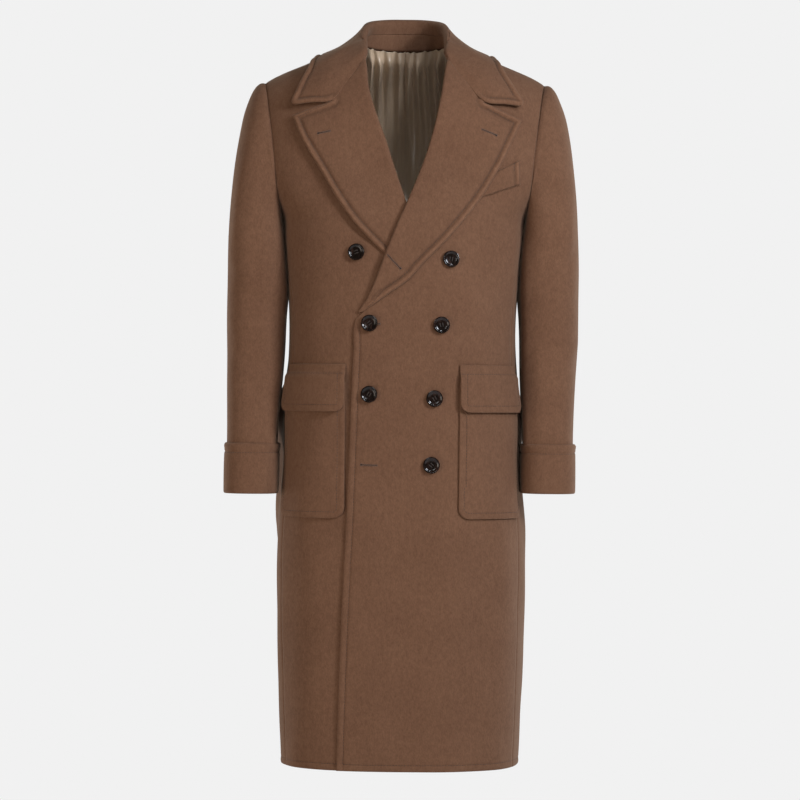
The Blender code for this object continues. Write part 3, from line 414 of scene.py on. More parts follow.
def track(rows, column, size=MM):
    """A smooth curve through one column of a table, as a function of its first column."""
    table = np.array(sorted((row[0], row[column]) for row in rows)) * size
    keys, values = table[:, 0], table[:, 1]
    steep = np.gradient(values, keys)

    def value_at(key):
        key = np.clip(key, keys[0], keys[-1])
        row = np.clip(np.searchsorted(keys, key, side="right") - 1, 0, len(keys) - 2)
        span = keys[row + 1] - keys[row]
        share = (key - keys[row]) / span
        rise = values[row + 1] - values[row]
        lead = steep[row] * span - rise
        tail = rise - steep[row + 1] * span
        return values[row] + share * rise + share * (1 - share) * ((1 - share) * lead + share * tail)

    return value_at


half_width, front_depth, back_depth = (track(BODY, column) for column in (1, 2, 3))
ridge_height, ridge_depth = track(RIDGE, 1), track(RIDGE, 2)
armhole_line = track(ARMHOLE, 1)
edge_line = {LEFT: track(LEFT_EDGE, 1), RIGHT: track(RIGHT_EDGE, 1)}
sleeve_inner, sleeve_outer = track(SLEEVE, 1), track(SLEEVE, 2)
sleeve_middle, sleeve_depth = track(SLEEVE, 3), track(SLEEVE, 4)
HEAD_TABLE = [(row, *shares) for row, shares in enumerate(SLEEVE_HEAD)]
head_out, head_down = track(HEAD_TABLE, 1, 1), track(HEAD_TABLE, 2, 1)
hang_across = {side: track(SLEEVE_HANG[side], 1) for side in (LEFT, RIGHT)}
hang_up = {side: track(SLEEVE_HANG[side], 2) for side in (LEFT, RIGHT)}


def tabled_sections():
    """Half of the body's outline at every tabled level, by share of its girth from the front centre."""
    turn = np.linspace(0, math.pi / 2, SECTION_STEPS)
    levels = np.arange(HEM - 10 * MM, 64 * MM, LEVEL_STEP)
    totals, sides, across, deep = [], [], [], []
    for level in levels:
        halves = []
        for depth, power in ((-front_depth(level), FRONT_ROUND), (back_depth(level), BACK_ROUND)):
            halves.append((half_width(level) * np.sin(turn) ** (2 / power),
                           depth * np.cos(turn).clip(0) ** (2 / power)))
        line_x = np.concatenate((halves[0][0], halves[1][0][-2::-1]))
        line_y = np.concatenate((halves[0][1], halves[1][1][-2::-1]))
        girth = np.concatenate(((0,), np.cumsum(np.hypot(np.diff(line_x), np.diff(line_y)))))
        even = np.linspace(0, girth[-1], GIRTH_STEPS)
        totals.append(girth[-1])
        sides.append(girth[SECTION_STEPS - 1])
        across.append(np.interp(even, girth, line_x))
        deep.append(np.interp(even, girth, line_y))
    return levels, np.array(totals), np.array(sides), np.array(across), np.array(deep)


LEVELS, TOTALS, SIDES, ACROSS, DEEP = tabled_sections()


def level_row(level):
    """Where a level falls in the tabled sections: the row below it and the share beyond that row."""
    row = np.clip((level - LEVELS[0]) / LEVEL_STEP, 0, len(LEVELS) - 1.001)
    low = row.astype(int)
    return low, row - low


def total_girth(level):
    """Half the body's girth at a level, from the front centre to the back centre."""
    low, share = level_row(np.asarray(level, float))
    return mix(TOTALS[low], TOTALS[low + 1], share)


def side_girth(level):
    """The girth from the front centre to the widest place at a level."""
    low, share = level_row(np.asarray(level, float))
    return mix(SIDES[low], SIDES[low + 1], share)


def around(girth, level):
    """Where a girth from the front centre falls on the outline at a level: across and deep."""
    girth, level = np.broadcast_arrays(np.asarray(girth, float), np.asarray(level, float))
    low, up = level_row(level)
    share = np.abs(girth) / mix(TOTALS[low], TOTALS[low + 1], up)
    sign = np.where(girth >= 0, 1.0, -1.0) * np.where(share > 1, -1.0, 1.0)
    share = np.where(share > 1, 2 - share, share)
    column = share * (GIRTH_STEPS - 1)
    left = np.clip(column.astype(int), 0, GIRTH_STEPS - 2)
    along = column - left

    def read(table):
        return mix(mix(table[low, left], table[low, left + 1], along),
                   mix(table[low + 1, left], table[low + 1, left + 1], along), up)

    return sign * read(ACROSS), read(DEEP)


def girth_at(across, level, back=False):
    """The girth from the front centre to a distance from the centre, on the front or on the back."""
    across, level = np.broadcast_arrays(np.asarray(across, float), np.asarray(level, float))
    low = side_girth(level) if back else np.zeros_like(level)
    high = total_girth(level) if back else side_girth(level)
    for _ in range(SEARCH_STEPS):
        middle = (low + high) / 2
        short = (around(middle, level)[0] < np.abs(across)) != back
        low, high = np.where(short, middle, low), np.where(short, high, middle)
    return (low + high) / 2 * np.where(across < 0, -1.0, 1.0)


def crown(drop):
    """How far the body has turned out from the shoulder seam, at a drop below it."""
    share = np.clip(drop / CROWN_DEPTH, 0.0, 1.0)
    return (1 - (1 - share) ** CROWN_ROUND) ** (1 / CROWN_ROUND)


def skin(girth, level, drop=None):
    """A point of the body's outer surface."""
    across, deep = around(girth, level)
    if drop is None:
        drop = ridge_height(np.abs(across)) - level
    seam = ridge_depth(np.abs(across))
    return np.stack((across, seam + (deep - seam) * crown(drop), level + 0 * across), axis=-1)


def outward(girth, level):
    """The direction that faces out of the body's surface."""
    drop = np.maximum(ridge_height(np.abs(around(girth, level)[0])) - level, 0.0)

    def near(along, down):
        across = np.abs(around(girth + along, level)[0])
        return skin(girth + along, ridge_height(across) - drop - down, drop + down)

    along = near(NORMAL_STEP, 0) - near(-NORMAL_STEP, 0)
    down = near(0, NORMAL_STEP) - near(0, -np.minimum(NORMAL_STEP, drop))
    return unit(np.cross(down, along))


def crease_height(creases, along, level, turn=None):
    """The summed height of soft creases, each fading at both ends."""
    height = np.zeros(np.broadcast(along, level).shape)
    for start, start_level, end, end_level, wide, tall in creases:
        if turn:
            middle = math.radians(start + end) / 2
            place = (np.remainder(along - middle + math.pi, 2 * math.pi) - math.pi) * turn
            first = np.array((math.radians(start - end) / 2 * turn, start_level * MM))
            last = np.array((math.radians(end - start) / 2 * turn, end_level * MM))
        else:
            place, first, last = along, np.array((start, start_level)) * MM, np.array((end, end_level)) * MM
        run = last - first
        length = np.hypot(*run)
        share = ((place - first[0]) * run[0] + (level - first[1]) * run[1]) / length ** 2
        away = ((place - first[0]) * run[1] - (level - first[1]) * run[0]) / length
        away = away + wide * MM * 0.35 * np.sin(5.2 * share + start)      # none of them runs straight
        beyond = np.maximum(np.maximum(-share, share - 1), 0) * length
        fade = np.exp(-(beyond / (1.6 * wide * MM)) ** 2) * (0.55 + 0.45 * ease(share, -0.2, 0.4))
        height = height + tall * MM * fade * np.exp(-(away / (wide * MM)) ** 2)
    return height


def relief(side, girth, level):
    """How far the cloth of one side stands off its plain shape."""
    sway = sum(tall * MM * np.sin(2 * math.pi * (girth / (wide * MM) + level / (high * MM)) + phase + side)
               for wide, high, phase, tall in SWAYS)
    calm = ease(total_girth(level) - girth, 0, CALM) * ease(np.abs(girth), 0, CALM)
    return (sway + crease_height(BODY_CREASES[side], girth, level)) * calm


def lift(girth, level, height):
    """A point at a height over the body's plain outer surface."""
    return skin(girth, level) + outward(girth, level) * np.asarray(height)[..., None]


def ply(side, girth, level):
    """How far a front stands out because another front, or its lapel, lies under it."""
    if side == RIGHT:
        return 0.0 * girth
    over_front, over_lapel = ((1 - ease(girth, *across)) * (1 - ease(level, *up))
                              for across, up in (OVERLAP_FADE, BULK_FADE))
    return OVERLAP * over_front + LAPEL_BULK * ease(level, *BULK_START) * over_lapel


def over_cloth(side, girth, level, height):
    """A point at a height over one side's cloth, creases and all."""
    return lift(girth, level, ply(side, girth, level) + relief(side, girth, level) + height)


def on_front(side, across, level, height):
    """A point at a height over one front, by its distance from the centre."""
    return over_cloth(side, girth_at(across, level), level, height)


def flipped(points, side):
    """Points brought to their own side of the coat."""
    return points * np.array((side, 1, 1))


# ---------------------------------------------------------------- meshes

def spread(total, near, count, far):
    """Places across each row: fixed steps in from both edges, even ones between."""
    total = np.asarray(total, float)[:, None]
    near, far = np.array(near) * MM, np.array(far)[::-1] * MM
    scale = np.minimum(1.0, 0.9 * total / (near[-1] + far[0]))
    start, end = near[-1] * scale, total - far[0] * scale
    even = start + (end - start) * np.linspace(0, 1, count + 2)[None, 1:-1]
    return np.concatenate((near * scale, even, total - far * scale), axis=1)


def slopes(grid, ring=False):
    """The direction across a grid at each of its points: rows by columns, right-handed."""
    if ring:
        across = np.roll(grid, -1, axis=1) - np.roll(grid, 1, axis=1)
    else:
        across = np.gradient(grid, axis=1)
    return unit(np.cross(across, np.gradient(grid, axis=0)))


def bend_through(points, steps, axis):
    """Points along smooth curves through the given ones, along one axis of a grid."""
    points = np.moveaxis(points, axis, 0)
    padded = np.concatenate((points[:1] * 2 - points[1:2], points, points[-1:] * 2 - points[-2:-1]))
    shares = (np.arange(steps) / steps).reshape((-1,) + (1,) * (points.ndim - 1))
    path = []
    for before, start, end, after in zip(padded, padded[1:], padded[2:], padded[3:]):
        path.append(0.5 * (2 * start + (end - before) * shares
                           + (2 * before - 5 * start + 4 * end - after) * shares ** 2
                           + (3 * start - before - 3 * end + after) * shares ** 3))
    return np.moveaxis(np.concatenate(path + [points[-1:]]), 0, axis)


def away_from(grid, border):
    """The distance from each point of a grid to a line of points."""
    starts, runs = border[:-1], np.diff(border, axis=0)
    lengths = np.maximum((runs ** 2).sum(-1), 1e-14)
    points = grid.reshape(-1, 3)
    nearest = np.full(len(points), np.inf)
    for start, run, length in zip(starts, runs, lengths):
        share = np.clip((points - start) @ run / length, 0, 1)
        nearest = np.minimum(nearest, np.linalg.norm(points - start - share[:, None] * run, axis=1))
    return nearest.reshape(grid.shape[:-1])


def rolled(distance, groove=STITCH_IN, bold=1.0):
    """Height of an edge beside its stitching: full outside it, pulled in along it."""
    swell = bold * ROLL_HEIGHT * np.exp(-((distance - ROLL_AT) / ROLL_WIDE) ** 2)
    return swell - bold * GROOVE_DEPTH * np.exp(-((distance - groove) / (bold * GROOVE_WIDE)) ** 2)


def sewn(distance, depth=SEAM_DIP):
    """Height beside a plain seam, where the cloth turns in."""
    return -depth * np.exp(-(distance / SEAM_WIDE) ** 2)


def add_mesh(name, points, faces, material, replaced=()):
    """A mesh piece of the coat, riding with it."""
    mesh = bpy.data.meshes.new(name)
    mesh.from_pydata(points.tolist(), [], faces.tolist() if hasattr(faces, "tolist") else faces)
    mesh.validate()
    made = bmesh.new()
    made.from_mesh(mesh)
    if made.calc_volume(signed=True) < 0:
        bmesh.ops.reverse_faces(made, faces=made.faces)
    made.to_mesh(mesh)
    made.free()
    mesh.shade_smooth()
    mesh.materials.append(material)
    piece = bpy.data.objects.new(name, mesh)
    bpy.context.scene.collection.objects.link(piece)
    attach(piece, "root")
    if replaced:
        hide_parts(*replaced)
    return piece


def border_of(rows, columns, ring):
    """Loops of a grid's border: their indices, those just inside, their edges' names and their winding."""
    across, down = range(columns), range(rows)
    if ring:
        return [([(0, c) for c in across], [(1, c) for c in across], ["start"] * columns, False),
                ([(rows - 1, c) for c in across], [(rows - 2, c) for c in across], ["end"] * columns, True)]
    loop = [(0, c) for c in across] + [(r, columns - 1) for r in down[1:]]
    loop += [(rows - 1, c) for c in across[-2::-1]] + [(r, 0) for r in down[-2:0:-1]]
    inside = [(min(max(r, 1), rows - 2), min(max(c, 1), columns - 2)) for r, c in loop]
    edges = ["start"] * columns + ["far"] * (rows - 1) + ["end"] * (columns - 1) + ["near"] * (rows - 2)
    return [(loop, inside, edges, False)]


def rim_share(loop, edges, sewn_at):
    """How far each border point's rim is rounded. An edge may be sewn up to a given row or column only."""
    numbers = [place[1] if edge in ("start", "end") else place[0] for place, edge in zip(loop, edges)]
    return np.array([SEWN_RIM if number < sewn_at.get(edge, 0) else 1.0
                     for number, edge in zip(numbers, edges)])


def add_shell(name, outer, inner, material, slot, replaced, ring=False, sewn_at=NOT_SEWN, raised=0.0):
    """A cloth shell between two grids, its free edges rounded and its sewn ones nearly square.

    The edges are called start and end for the first and last row, near and far for the columns. sewn_at
    tells how many points of an edge are sewn, and raised how far the cloth is lifted there, in millimetres,
    which the materials turn into painted light where it is high and painted shade where it is low.
    """
    rows, columns = outer.shape[:2]
    spans = columns if ring else columns - 1
    row, column = np.meshgrid(np.arange(rows - 1), np.arange(spans), indexing="ij")
    after = (column + 1) % columns
    first, second = row * columns + column, row * columns + after
    quads = np.stack((first, second, second + columns, first + columns), axis=-1).reshape(-1, 4)
    size = rows * columns
    faces = [quads, quads[:, ::-1] + size]
    outer, inner = outer.copy(), inner.copy()
    extra = []
    for loop, inside, edges, flip in border_of(rows, columns, ring):
        loop, inside = np.array(loop), np.array(inside)
        at, by = (loop[:, 0], loop[:, 1]), (inside[:, 0], inside[:, 1])
        middle = (outer[at] + inner[at]) / 2
        radius = np.linalg.norm(outer[at] - inner[at], axis=1, keepdims=True) / 2
        away = unit(middle - (outer[by] + inner[by]) / 2)
        radius = np.minimum(radius, 0.8 * np.linalg.norm(outer[at] - outer[by], axis=1, keepdims=True))
        radius = radius * rim_share(loop, edges, sewn_at)[:, None]
        outer[at] -= away * radius
        inner[at] -= away * radius
        middle -= away * radius
        loops = [loop[:, 0] * columns + loop[:, 1]]
        for angle in RIM_ANGLES:
            turn = math.radians(angle)
            start = 2 * size + sum(len(points) for points in extra)
            extra.append(middle + (outer[at] - middle) * math.cos(turn) + away * radius * math.sin(turn))
            loops.append(np.arange(start, start + len(loop)))
        loops.append(loops[0] + size)
        for one, other in zip(loops, loops[1:]):
            rim = np.stack((one, other, np.roll(other, -1), np.roll(one, -1)), axis=-1)
            faces.append(rim[:, ::-1] if flip else rim)
    points = np.concatenate((outer.reshape(-1, 3), inner.reshape(-1, 3), *extra))
    piece = add_mesh(name, points, np.concatenate(faces), material, replaced)
    # The outer points keep this as an attribute, from which the materials paint light and shade.
    lifted = np.zeros(len(points))
    lifted[:size] = (raised + np.zeros((rows, columns))).ravel()
    piece.data.attributes.new("raised", "FLOAT", "POINT").data.foreach_set("value", lifted)
    return piece


def wool_shell(side, name, outer, inner, **more):
    """A shell of the coat's wool on its own side, in place of the solid of the same name."""
    return add_shell(name, flipped(outer, side), flipped(inner, side), WOOL, "cloth", (name,), **more)


def tree_of(piece):
    """A search tree over a piece's faces."""
    return BVHTree.FromObject(piece, bpy.context.evaluated_depsgraph_get())


def settled(tree, points):
    """Each point brought to the nearest place on a piece's surface, and the direction out of it."""
    found = [tree.find_nearest(Vector(point)) for point in points]
    return np.array([hit[0] for hit in found]), np.array([hit[1] for hit in found])


def walked(path, step):
    """A line of points walked in even steps."""
    lengths = np.concatenate(((0,), np.cumsum(np.linalg.norm(np.diff(path, axis=0), axis=1))))
    count = max(int(lengths[-1] / step), 1)
    places = (np.arange(count) + 0.5) * lengths[-1] / count
    return np.stack([np.interp(places, lengths, path[:, axis]) for axis in range(path.shape[1])], axis=1)


def ring_faces(first, rings, sides):
    """Faces between rings of points that follow one another, the first ring starting at a given point."""
    faces = []
    for start in range(first, first + (rings - 1) * sides, sides):
        for side in range(sides):
            after = (side + 1) % sides
            faces.append((start + side, start + after, start + sides + after, start + sides + side))
    return faces


def capsule():
    """One stitch, lying along X with its top towards Z, one long, one wide and one high."""
    rings = ((-0.46, 0.35), (-0.28, 0.5), (0.28, 0.5), (0.46, 0.35))
    sides = 6
    points = [(-0.5, 0, 0)]
    points += [(x, radius * math.cos(math.tau * side / sides), radius * math.sin(math.tau * side / sides))
               for x, radius in rings for side in range(sides)]
    points.append((0.5, 0, 0))
    faces = [(0, 1 + (side + 1) % sides, 1 + side) for side in range(sides)]
    faces += ring_faces(1, len(rings), sides)
    start, last = 1 + (len(rings) - 1) * sides, len(points) - 1
    faces += [(last, start + side, start + (side + 1) % sides) for side in range(sides)]
    return np.array(points), faces


def add_stitches(name, places, along, out, length, thick, material):
    """Many stitches as one piece, each lying along its own direction and half sunk in the cloth."""
    template, faces = capsule()
    along, out = unit(along), unit(out)
    beside = unit(np.cross(out, along))
    points = (places[:, None] + template[None, :, :1] * along[:, None] * length
              + template[None, :, 1:2] * beside[:, None] * thick
              + template[None, :, 2:] * out[:, None] * thick)
    count = len(template)
    every = [tuple(corner + number * count for corner in face)
             for number in range(len(places)) for face in faces]
    return add_mesh(name, points.reshape(-1, 3), every, material)


def crossing(points, distances, inset):
    """The point of a line where it comes within the inset of an edge, walking towards that edge."""
    inside = np.flatnonzero((distances[:-1] >= inset) & (distances[1:] < inset))
    if not len(inside):
        return None
    at = inside[-1]
    return mix(points[at], points[at + 1], (distances[at] - inset) / (distances[at] - distances[at + 1]))


def inset_line(grid, distance, notch, inset):
    """The line at an inset from the collar leaf's edges: one front end, the long edge, the other end."""
    middle = len(grid) // 2
    columns = range(notch + 2, int(np.argmax(distance[middle] < inset)))
    rows = [row for row in range(len(grid))
            if min(np.linalg.norm(grid[row, -1] - grid[end, -1]) for end in (0, -1)) > inset]
    first = [crossing(grid[middle::-1, column], distance[middle::-1, column], inset) for column in columns]
    edge = [crossing(grid[row], distance[row], inset) for row in rows]
    last = [crossing(grid[middle:, column], distance[middle:, column], inset) for column in columns[::-1]]
    return np.array([point for point in first + edge + last if point is not None])


def topstitch(name, piece, path):
    """A row of stitching along a line over a piece."""
    surface, out = settled(tree_of(piece), walked(np.asarray(path), STITCH_PITCH))
    return add_stitches(name, surface + out * STITCH_UP, np.gradient(surface, axis=0), out, STITCH_LENGTH,
                        STITCH_THICK, THREAD)


# ---------------------------------------------------------------- materials

def linear(colour):
    """A linear colour from sRGB hex."""
    channels = [int(colour[place:place + 2], 16) / 255 for place in (1, 3, 5)]
    return (*[c / 12.92 if c <= 0.04045 else ((c + 0.055) / 1.055) ** 2.4 for c in channels], 1)


def add_node(tree, kind, inputs=(), **settings):
    """A shader node with its settings, and its inputs set or linked."""
    made = tree.nodes.new(kind)
    for name, value in settings.items():
        setattr(made, name, value)
    for socket, value in dict(inputs).items():
        if isinstance(value, bpy.types.NodeSocket):
            tree.links.new(value, made.inputs[socket])
        else:
            made.inputs[socket].default_value = value
    return made


def new_material(name):
    """An empty material, its tree, its shader and the place on the object in metres."""
    made = bpy.data.materials.new(name)
    made.use_nodes = True
    tree = made.node_tree
    place = add_node(tree, "ShaderNodeTexCoord").outputs["Object"]
    return made, tree, tree.nodes["Principled BSDF"], place


def stretched(tree, place, scale):
    """The place on the object, stretched along its axes."""
    return add_node(tree, "ShaderNodeMapping", {"Vector": place, "Scale": scale}).outputs["Vector"]


COLOUR_A, COLOUR_B, COLOUR_OUT = 6, 7, 2      # a Mix node's colour sockets
NAP_SIZE, CLUMP_SIZE, CLOUD_SIZE = 2.1 * MM, 6.5 * MM, 85 * MM


def painted_light_and_shade(tree, colour, share):
    """A colour with painted light where the cloth stands up and painted shade where it is pulled in, read
    from a point attribute.
    """
    raised = add_node(tree, "ShaderNodeAttribute", attribute_name="raised").outputs["Fac"]
    level = add_node(tree, "ShaderNodeMath", {0: raised, 1: share, 2: 1.0}, operation="MULTIPLY_ADD")
    scaled = add_node(tree, "ShaderNodeVectorMath", {0: colour, 3: level.outputs[0]}, operation="SCALE")
    return scaled.outputs[0]


def brushed_wool(name, deep, plain, light):
    """Overcoating wool, woven, milled and brushed: a soft, short nap that hides the weave.

    The eye sees a matt brown with a faint bloom at grazing angles, fine uneven fibre clumps a few
    millimetres long that lie downwards, and a slow cloudiness over the whole coat. Real fibres are
    0.02 mm thick, so the clumps are drawn in their place.
    """
    made, tree, shader, place = new_material(name)
    nap = add_node(tree, "ShaderNodeTexNoise",
                   {"Vector": stretched(tree, place, (1, 1, 0.55)), "Scale": 1 / NAP_SIZE,
                    "Detail": 3.0, "Roughness": 0.62})
    clumps = add_node(tree, "ShaderNodeTexNoise",
                      {"Vector": stretched(tree, place, (1, 1, 0.7)), "Scale": 1 / CLUMP_SIZE,
                       "Detail": 2.0, "Roughness": 0.5})
    clouds = add_node(tree, "ShaderNodeTexNoise", {"Vector": place, "Scale": 1 / CLOUD_SIZE, "Detail": 1.0})
    fine = add_node(tree, "ShaderNodeMapRange",
                    {"Value": nap.outputs["Fac"], "From Min": 0.3, "From Max": 0.7})
    coarse = add_node(tree, "ShaderNodeMapRange",
                      {"Value": clumps.outputs["Fac"], "From Min": 0.3, "From Max": 0.7})
    slow = add_node(tree, "ShaderNodeMapRange",
                    {"Value": clouds.outputs["Fac"], "From Min": 0.35, "From Max": 0.65,
                     "To Min": 0.4, "To Max": 0.6})
    both = add_node(tree, "ShaderNodeMix", {0: 0.4, 2: fine.outputs["Result"], 3: coarse.outputs["Result"]},
                    data_type="FLOAT")
    dark = add_node(tree, "ShaderNodeMix",
                    {0: both.outputs[0], COLOUR_A: linear(deep), COLOUR_B: linear(plain)}, data_type="RGBA")
    pale = add_node(tree, "ShaderNodeMix",
                    {0: both.outputs[0], COLOUR_A: linear(plain), COLOUR_B: linear(light)}, data_type="RGBA")
    colour = add_node(tree, "ShaderNodeMix", {0: slow.outputs["Result"], COLOUR_A: dark.outputs[COLOUR_OUT],
                                              COLOUR_B: pale.outputs[COLOUR_OUT]}, data_type="RGBA")
    coarse_bump = add_node(tree, "ShaderNodeBump", {"Height": clumps.outputs["Fac"], "Strength": 0.35,
                                                    "Distance": 0.5 * MM})
    bump = add_node(tree, "ShaderNodeBump",
                    {"Height": nap.outputs["Fac"], "Strength": 0.55, "Distance": 0.45 * MM,
                     "Normal": coarse_bump.outputs["Normal"]})
    # Painted light on the cloth's rolled edges and swells, and painted shade in its grooves and seams.
    tree.links.new(painted_light_and_shade(tree, colour.outputs[COLOUR_OUT], 0.11), shader.inputs["Base Color"])
    tree.links.new(bump.outputs["Normal"], shader.inputs["Normal"])
    shader.inputs["Roughness"].default_value = 0.95
    shader.inputs["IOR"].default_value = 1.54          # wool's keratin
    shader.inputs["Specular IOR Level"].default_value = 0.18
    shader.inputs["Sheen Weight"].default_value = 0.26
    shader.inputs["Sheen Roughness"].default_value = 0.45
    shader.inputs["Sheen Tint"].default_value = linear("#C8B49C")
    return made


def satin_lining():
    """Viscose lining, woven as a warp-faced satin: smooth, with a long soft gloss across its folds.

    The eye sees a grey-brown that runs from near black in the gathers to a pale gloss on their tops, with
    fine upright threads. They are 0.1 mm apart in truth, and drawn at 0.9 mm. Part of the dark in the
    gathers and of the pale on their tops is painted shade and painted light.
    """
    made, tree, shader, place = new_material("satin lining, viscose")
    threads = add_node(tree, "ShaderNodeTexNoise", {"Vector": stretched(tree, place, (1, 0.2, 0.03)),
                                                    "Scale": 1 / (0.9 * MM), "Detail": 2.0})
    shade = add_node(tree, "ShaderNodeMix", {0: threads.outputs["Fac"], COLOUR_A: linear("#AE9479"),
                                             COLOUR_B: linear("#D3BB9E")}, data_type="RGBA")
    bump = add_node(tree, "ShaderNodeBump",
                    {"Height": threads.outputs["Fac"], "Strength": 0.25, "Distance": 0.15 * MM})
    # Painted light on the tops of the gathers and painted shade in their hollows.
    tree.links.new(painted_light_and_shade(tree, shade.outputs[COLOUR_OUT], 0.36), shader.inputs["Base Color"])
    tree.links.new(bump.outputs["Normal"], shader.inputs["Normal"])
    shader.inputs["Roughness"].default_value = 0.3
    shader.inputs["IOR"].default_value = 1.53
    shader.inputs["Specular IOR Level"].default_value = 0.6
    shader.inputs["Anisotropic"].default_value = 0.4
    shader.inputs["Sheen Weight"].default_value = 0.1
    return made


def polished_horn():
    """Buffalo horn, turned and polished: nearly black, with faint brown streaks under a clear gloss."""
    made, tree, shader, place = new_material("buffalo horn, polished")
    streaks = add_node(tree, "ShaderNodeTexNoise", {"Vector": stretched(tree, place, (1, 1, 0.3)),
                                                    "Scale": 1 / (5 * MM), "Detail": 4.0, "Distortion": 0.8})
    part = add_node(tree, "ShaderNodeMapRange",
                    {"Value": streaks.outputs["Fac"], "From Min": 0.45, "From Max": 0.75})
    colour = add_node(tree, "ShaderNodeMix", {0: part.outputs["Result"], COLOUR_A: linear("#120B07"),
                                              COLOUR_B: linear("#30201A")}, data_type="RGBA")
    scuffs = add_node(tree, "ShaderNodeTexNoise", {"Vector": place, "Scale": 1 / (1.2 * MM), "Detail": 3.0})
    rough = add_node(tree, "ShaderNodeMapRange",
                     {"Value": scuffs.outputs["Fac"], "To Min": 0.1, "To Max": 0.22})
    tree.links.new(colour.outputs[COLOUR_OUT], shader.inputs["Base Color"])
    tree.links.new(rough.outputs["Result"], shader.inputs["Roughness"])
    shader.inputs["IOR"].default_value = 1.55
    shader.inputs["Specular IOR Level"].default_value = 0.35
    return made


def twisted_thread(name, dark, light):
    """Twisted sewing thread: matt strands with a slight gloss, darker in the twist."""
    made, tree, shader, place = new_material(name)
    twist = add_node(tree, "ShaderNodeTexNoise", {"Vector": place, "Scale": 1 / (0.6 * MM), "Detail": 1.0})
    colour = add_node(tree, "ShaderNodeMix", {0: twist.outputs["Fac"], COLOUR_A: linear(dark),
                                              COLOUR_B: linear(light)}, data_type="RGBA")
    bump = add_node(tree, "ShaderNodeBump",
                    {"Height": twist.outputs["Fac"], "Strength": 0.4, "Distance": 0.1 * MM})
    tree.links.new(colour.outputs[COLOUR_OUT], shader.inputs["Base Color"])
    tree.links.new(bump.outputs["Normal"], shader.inputs["Normal"])
    shader.inputs["Roughness"].default_value = 0.7
    shader.inputs["IOR"].default_value = 1.5
    return made


def backdrop_paper():
    """Pale matt background paper. Behind the coat it is lit from behind, so that it shows evenly white."""
    made, tree, shader, place = new_material("background paper, matt")
    apart = add_node(tree, "ShaderNodeSeparateXYZ", {"Vector": place})
    glow = add_node(tree, "ShaderNodeMapRange",
                    {"Value": apart.outputs["Y"], "From Min": 0.25, "From Max": 0.65})
    plain = add_node(tree, "ShaderNodeMix", {0: glow.outputs["Result"], COLOUR_A: linear("#E4E4E4"),
                                             COLOUR_B: linear("#000000")}, data_type="RGBA")
    tree.links.new(plain.outputs[COLOUR_OUT], shader.inputs["Base Color"])
    tree.links.new(glow.outputs["Result"], shader.inputs["Emission Strength"])
    shader.inputs["Emission Color"].default_value = linear("#F1F1F1")
    shader.inputs["Roughness"].default_value = 1.0
    shader.inputs["Specular IOR Level"].default_value = 0.0
    return made


WOOL = brushed_wool("overcoating wool, milled and brushed", "#573A29", "#6B4B37", "#7F5D46")
SATIN = satin_lining()
HORN = polished_horn()
THREAD = twisted_thread("sewing thread, polyester, brown", "#35241A", "#4C382A")
SILK = twisted_thread("buttonhole thread, silk twist", "#553C2D", "#745743")
SHANK_THREAD = twisted_thread("button thread, waxed", "#1D1511", "#33261D")
SLIT = twisted_thread("cut edge of the wool, in shade", "#140C08", "#24170F")


# ---------------------------------------------------------------- fronts and back

def head_level(top, share):
    """Levels of the rows between the armpit and the shoulder, close together at both ends."""
    return top - (top - ARMPIT) * np.cos(math.pi * share / 2) ** 2


def body_rows():
    """Levels below the armpit, close together at the hem, and the head rows' shares above it."""
    near = HEM + np.array(EDGE_STEPS) * MM
    count = int((ARMPIT - near[-1]) / PLAIN_STEP)
    below = np.concatenate((near, np.linspace(near[-1], ARMPIT, count + 1)[1:-1]))
    shares = np.arange(HEAD_ROWS + 1) / HEAD_ROWS
    return below, shares


def seam_girth(level):
    """The side seam, which runs up to the armpit."""
    share = mix(SEAM_SHARE, 1.0, ease(level, *SEAM_RISE))
    return girth_at(share * half_width(level), level)


def panel_edge(side, level):
    """A front panel's inner edge, which stops inside the roll line where the lapel covers it."""
    room = ROLL_ROOM * ease(level, *ROLL_ROOM_START)
    return edge_line[side](level) + room * (1 - ease(level, *ROLL_ROOM_END))


def make_front(side):
    """A front panel, from its edge and roll line round to the side seam and the armhole."""
    below, shares = body_rows()
    inner_level = np.concatenate((below, head_level(ridge_height(NECK_POINT), shares)))
    outer_level = np.concatenate((below, head_level(ridge_height(SHOULDER), shares)))
    share = np.concatenate((0 * below, shares))
    head = share > 0
    start = girth_at(panel_edge(side, inner_level), inner_level)
    end = np.where(head, girth_at(armhole_line(outer_level), outer_level), seam_girth(outer_level)) - SEAM / 2
    places = spread(end - start, EDGE_STEPS, FRONT_COLUMNS, SEAM_STEPS)
    part = places / (end - start)[:, None]
    girth = mix(start[:, None], end[:, None], part)
    level = mix(inner_level[:, None], outer_level[:, None], part)
    level = mix(level, ridge_height(np.abs(around(girth, level)[0])), share[:, None] ** RIDGE_HOLD)
    below_break = 1 - ease(level, *EDGE_FADE)
    edging = rolled(places) * below_break + sewn((end - start)[:, None] - places)
    edging += rolled(level - HEM) * HEM_PRESS
    height = ply(side, girth, level) + relief(side, girth, level)
    nudge = np.zeros(girth.shape + (3,))
    nudge[-1, :, 1] = -SEAM / 2
    outer = lift(girth, level, height + edging) + nudge
    inner = lift(girth, level, height - WALL) + nudge
    name = f"{NAMES[side]}_front"
    piece = wool_shell(side, name, outer, inner, sewn_at={"far": ALL, "end": ALL})
    path = outer[STITCH_POINT:int(np.argmax(inner_level > EDGE_STITCH_END)), STITCH_POINT]
    hem = outer[STITCH_POINT, STITCH_POINT:-2]
    return piece, [topstitch(f"{name}_stitching", piece, flipped(path, side)),
                   topstitch(f"{name}_hem_stitching", piece, flipped(hem, side))]


def neck_level(across):
    """Level of the back neck seam."""
    share = np.minimum(across, NECK_POINT) / NECK_POINT
    return mix(NECK_CENTRE, ridge_height(NECK_POINT), share ** 2)


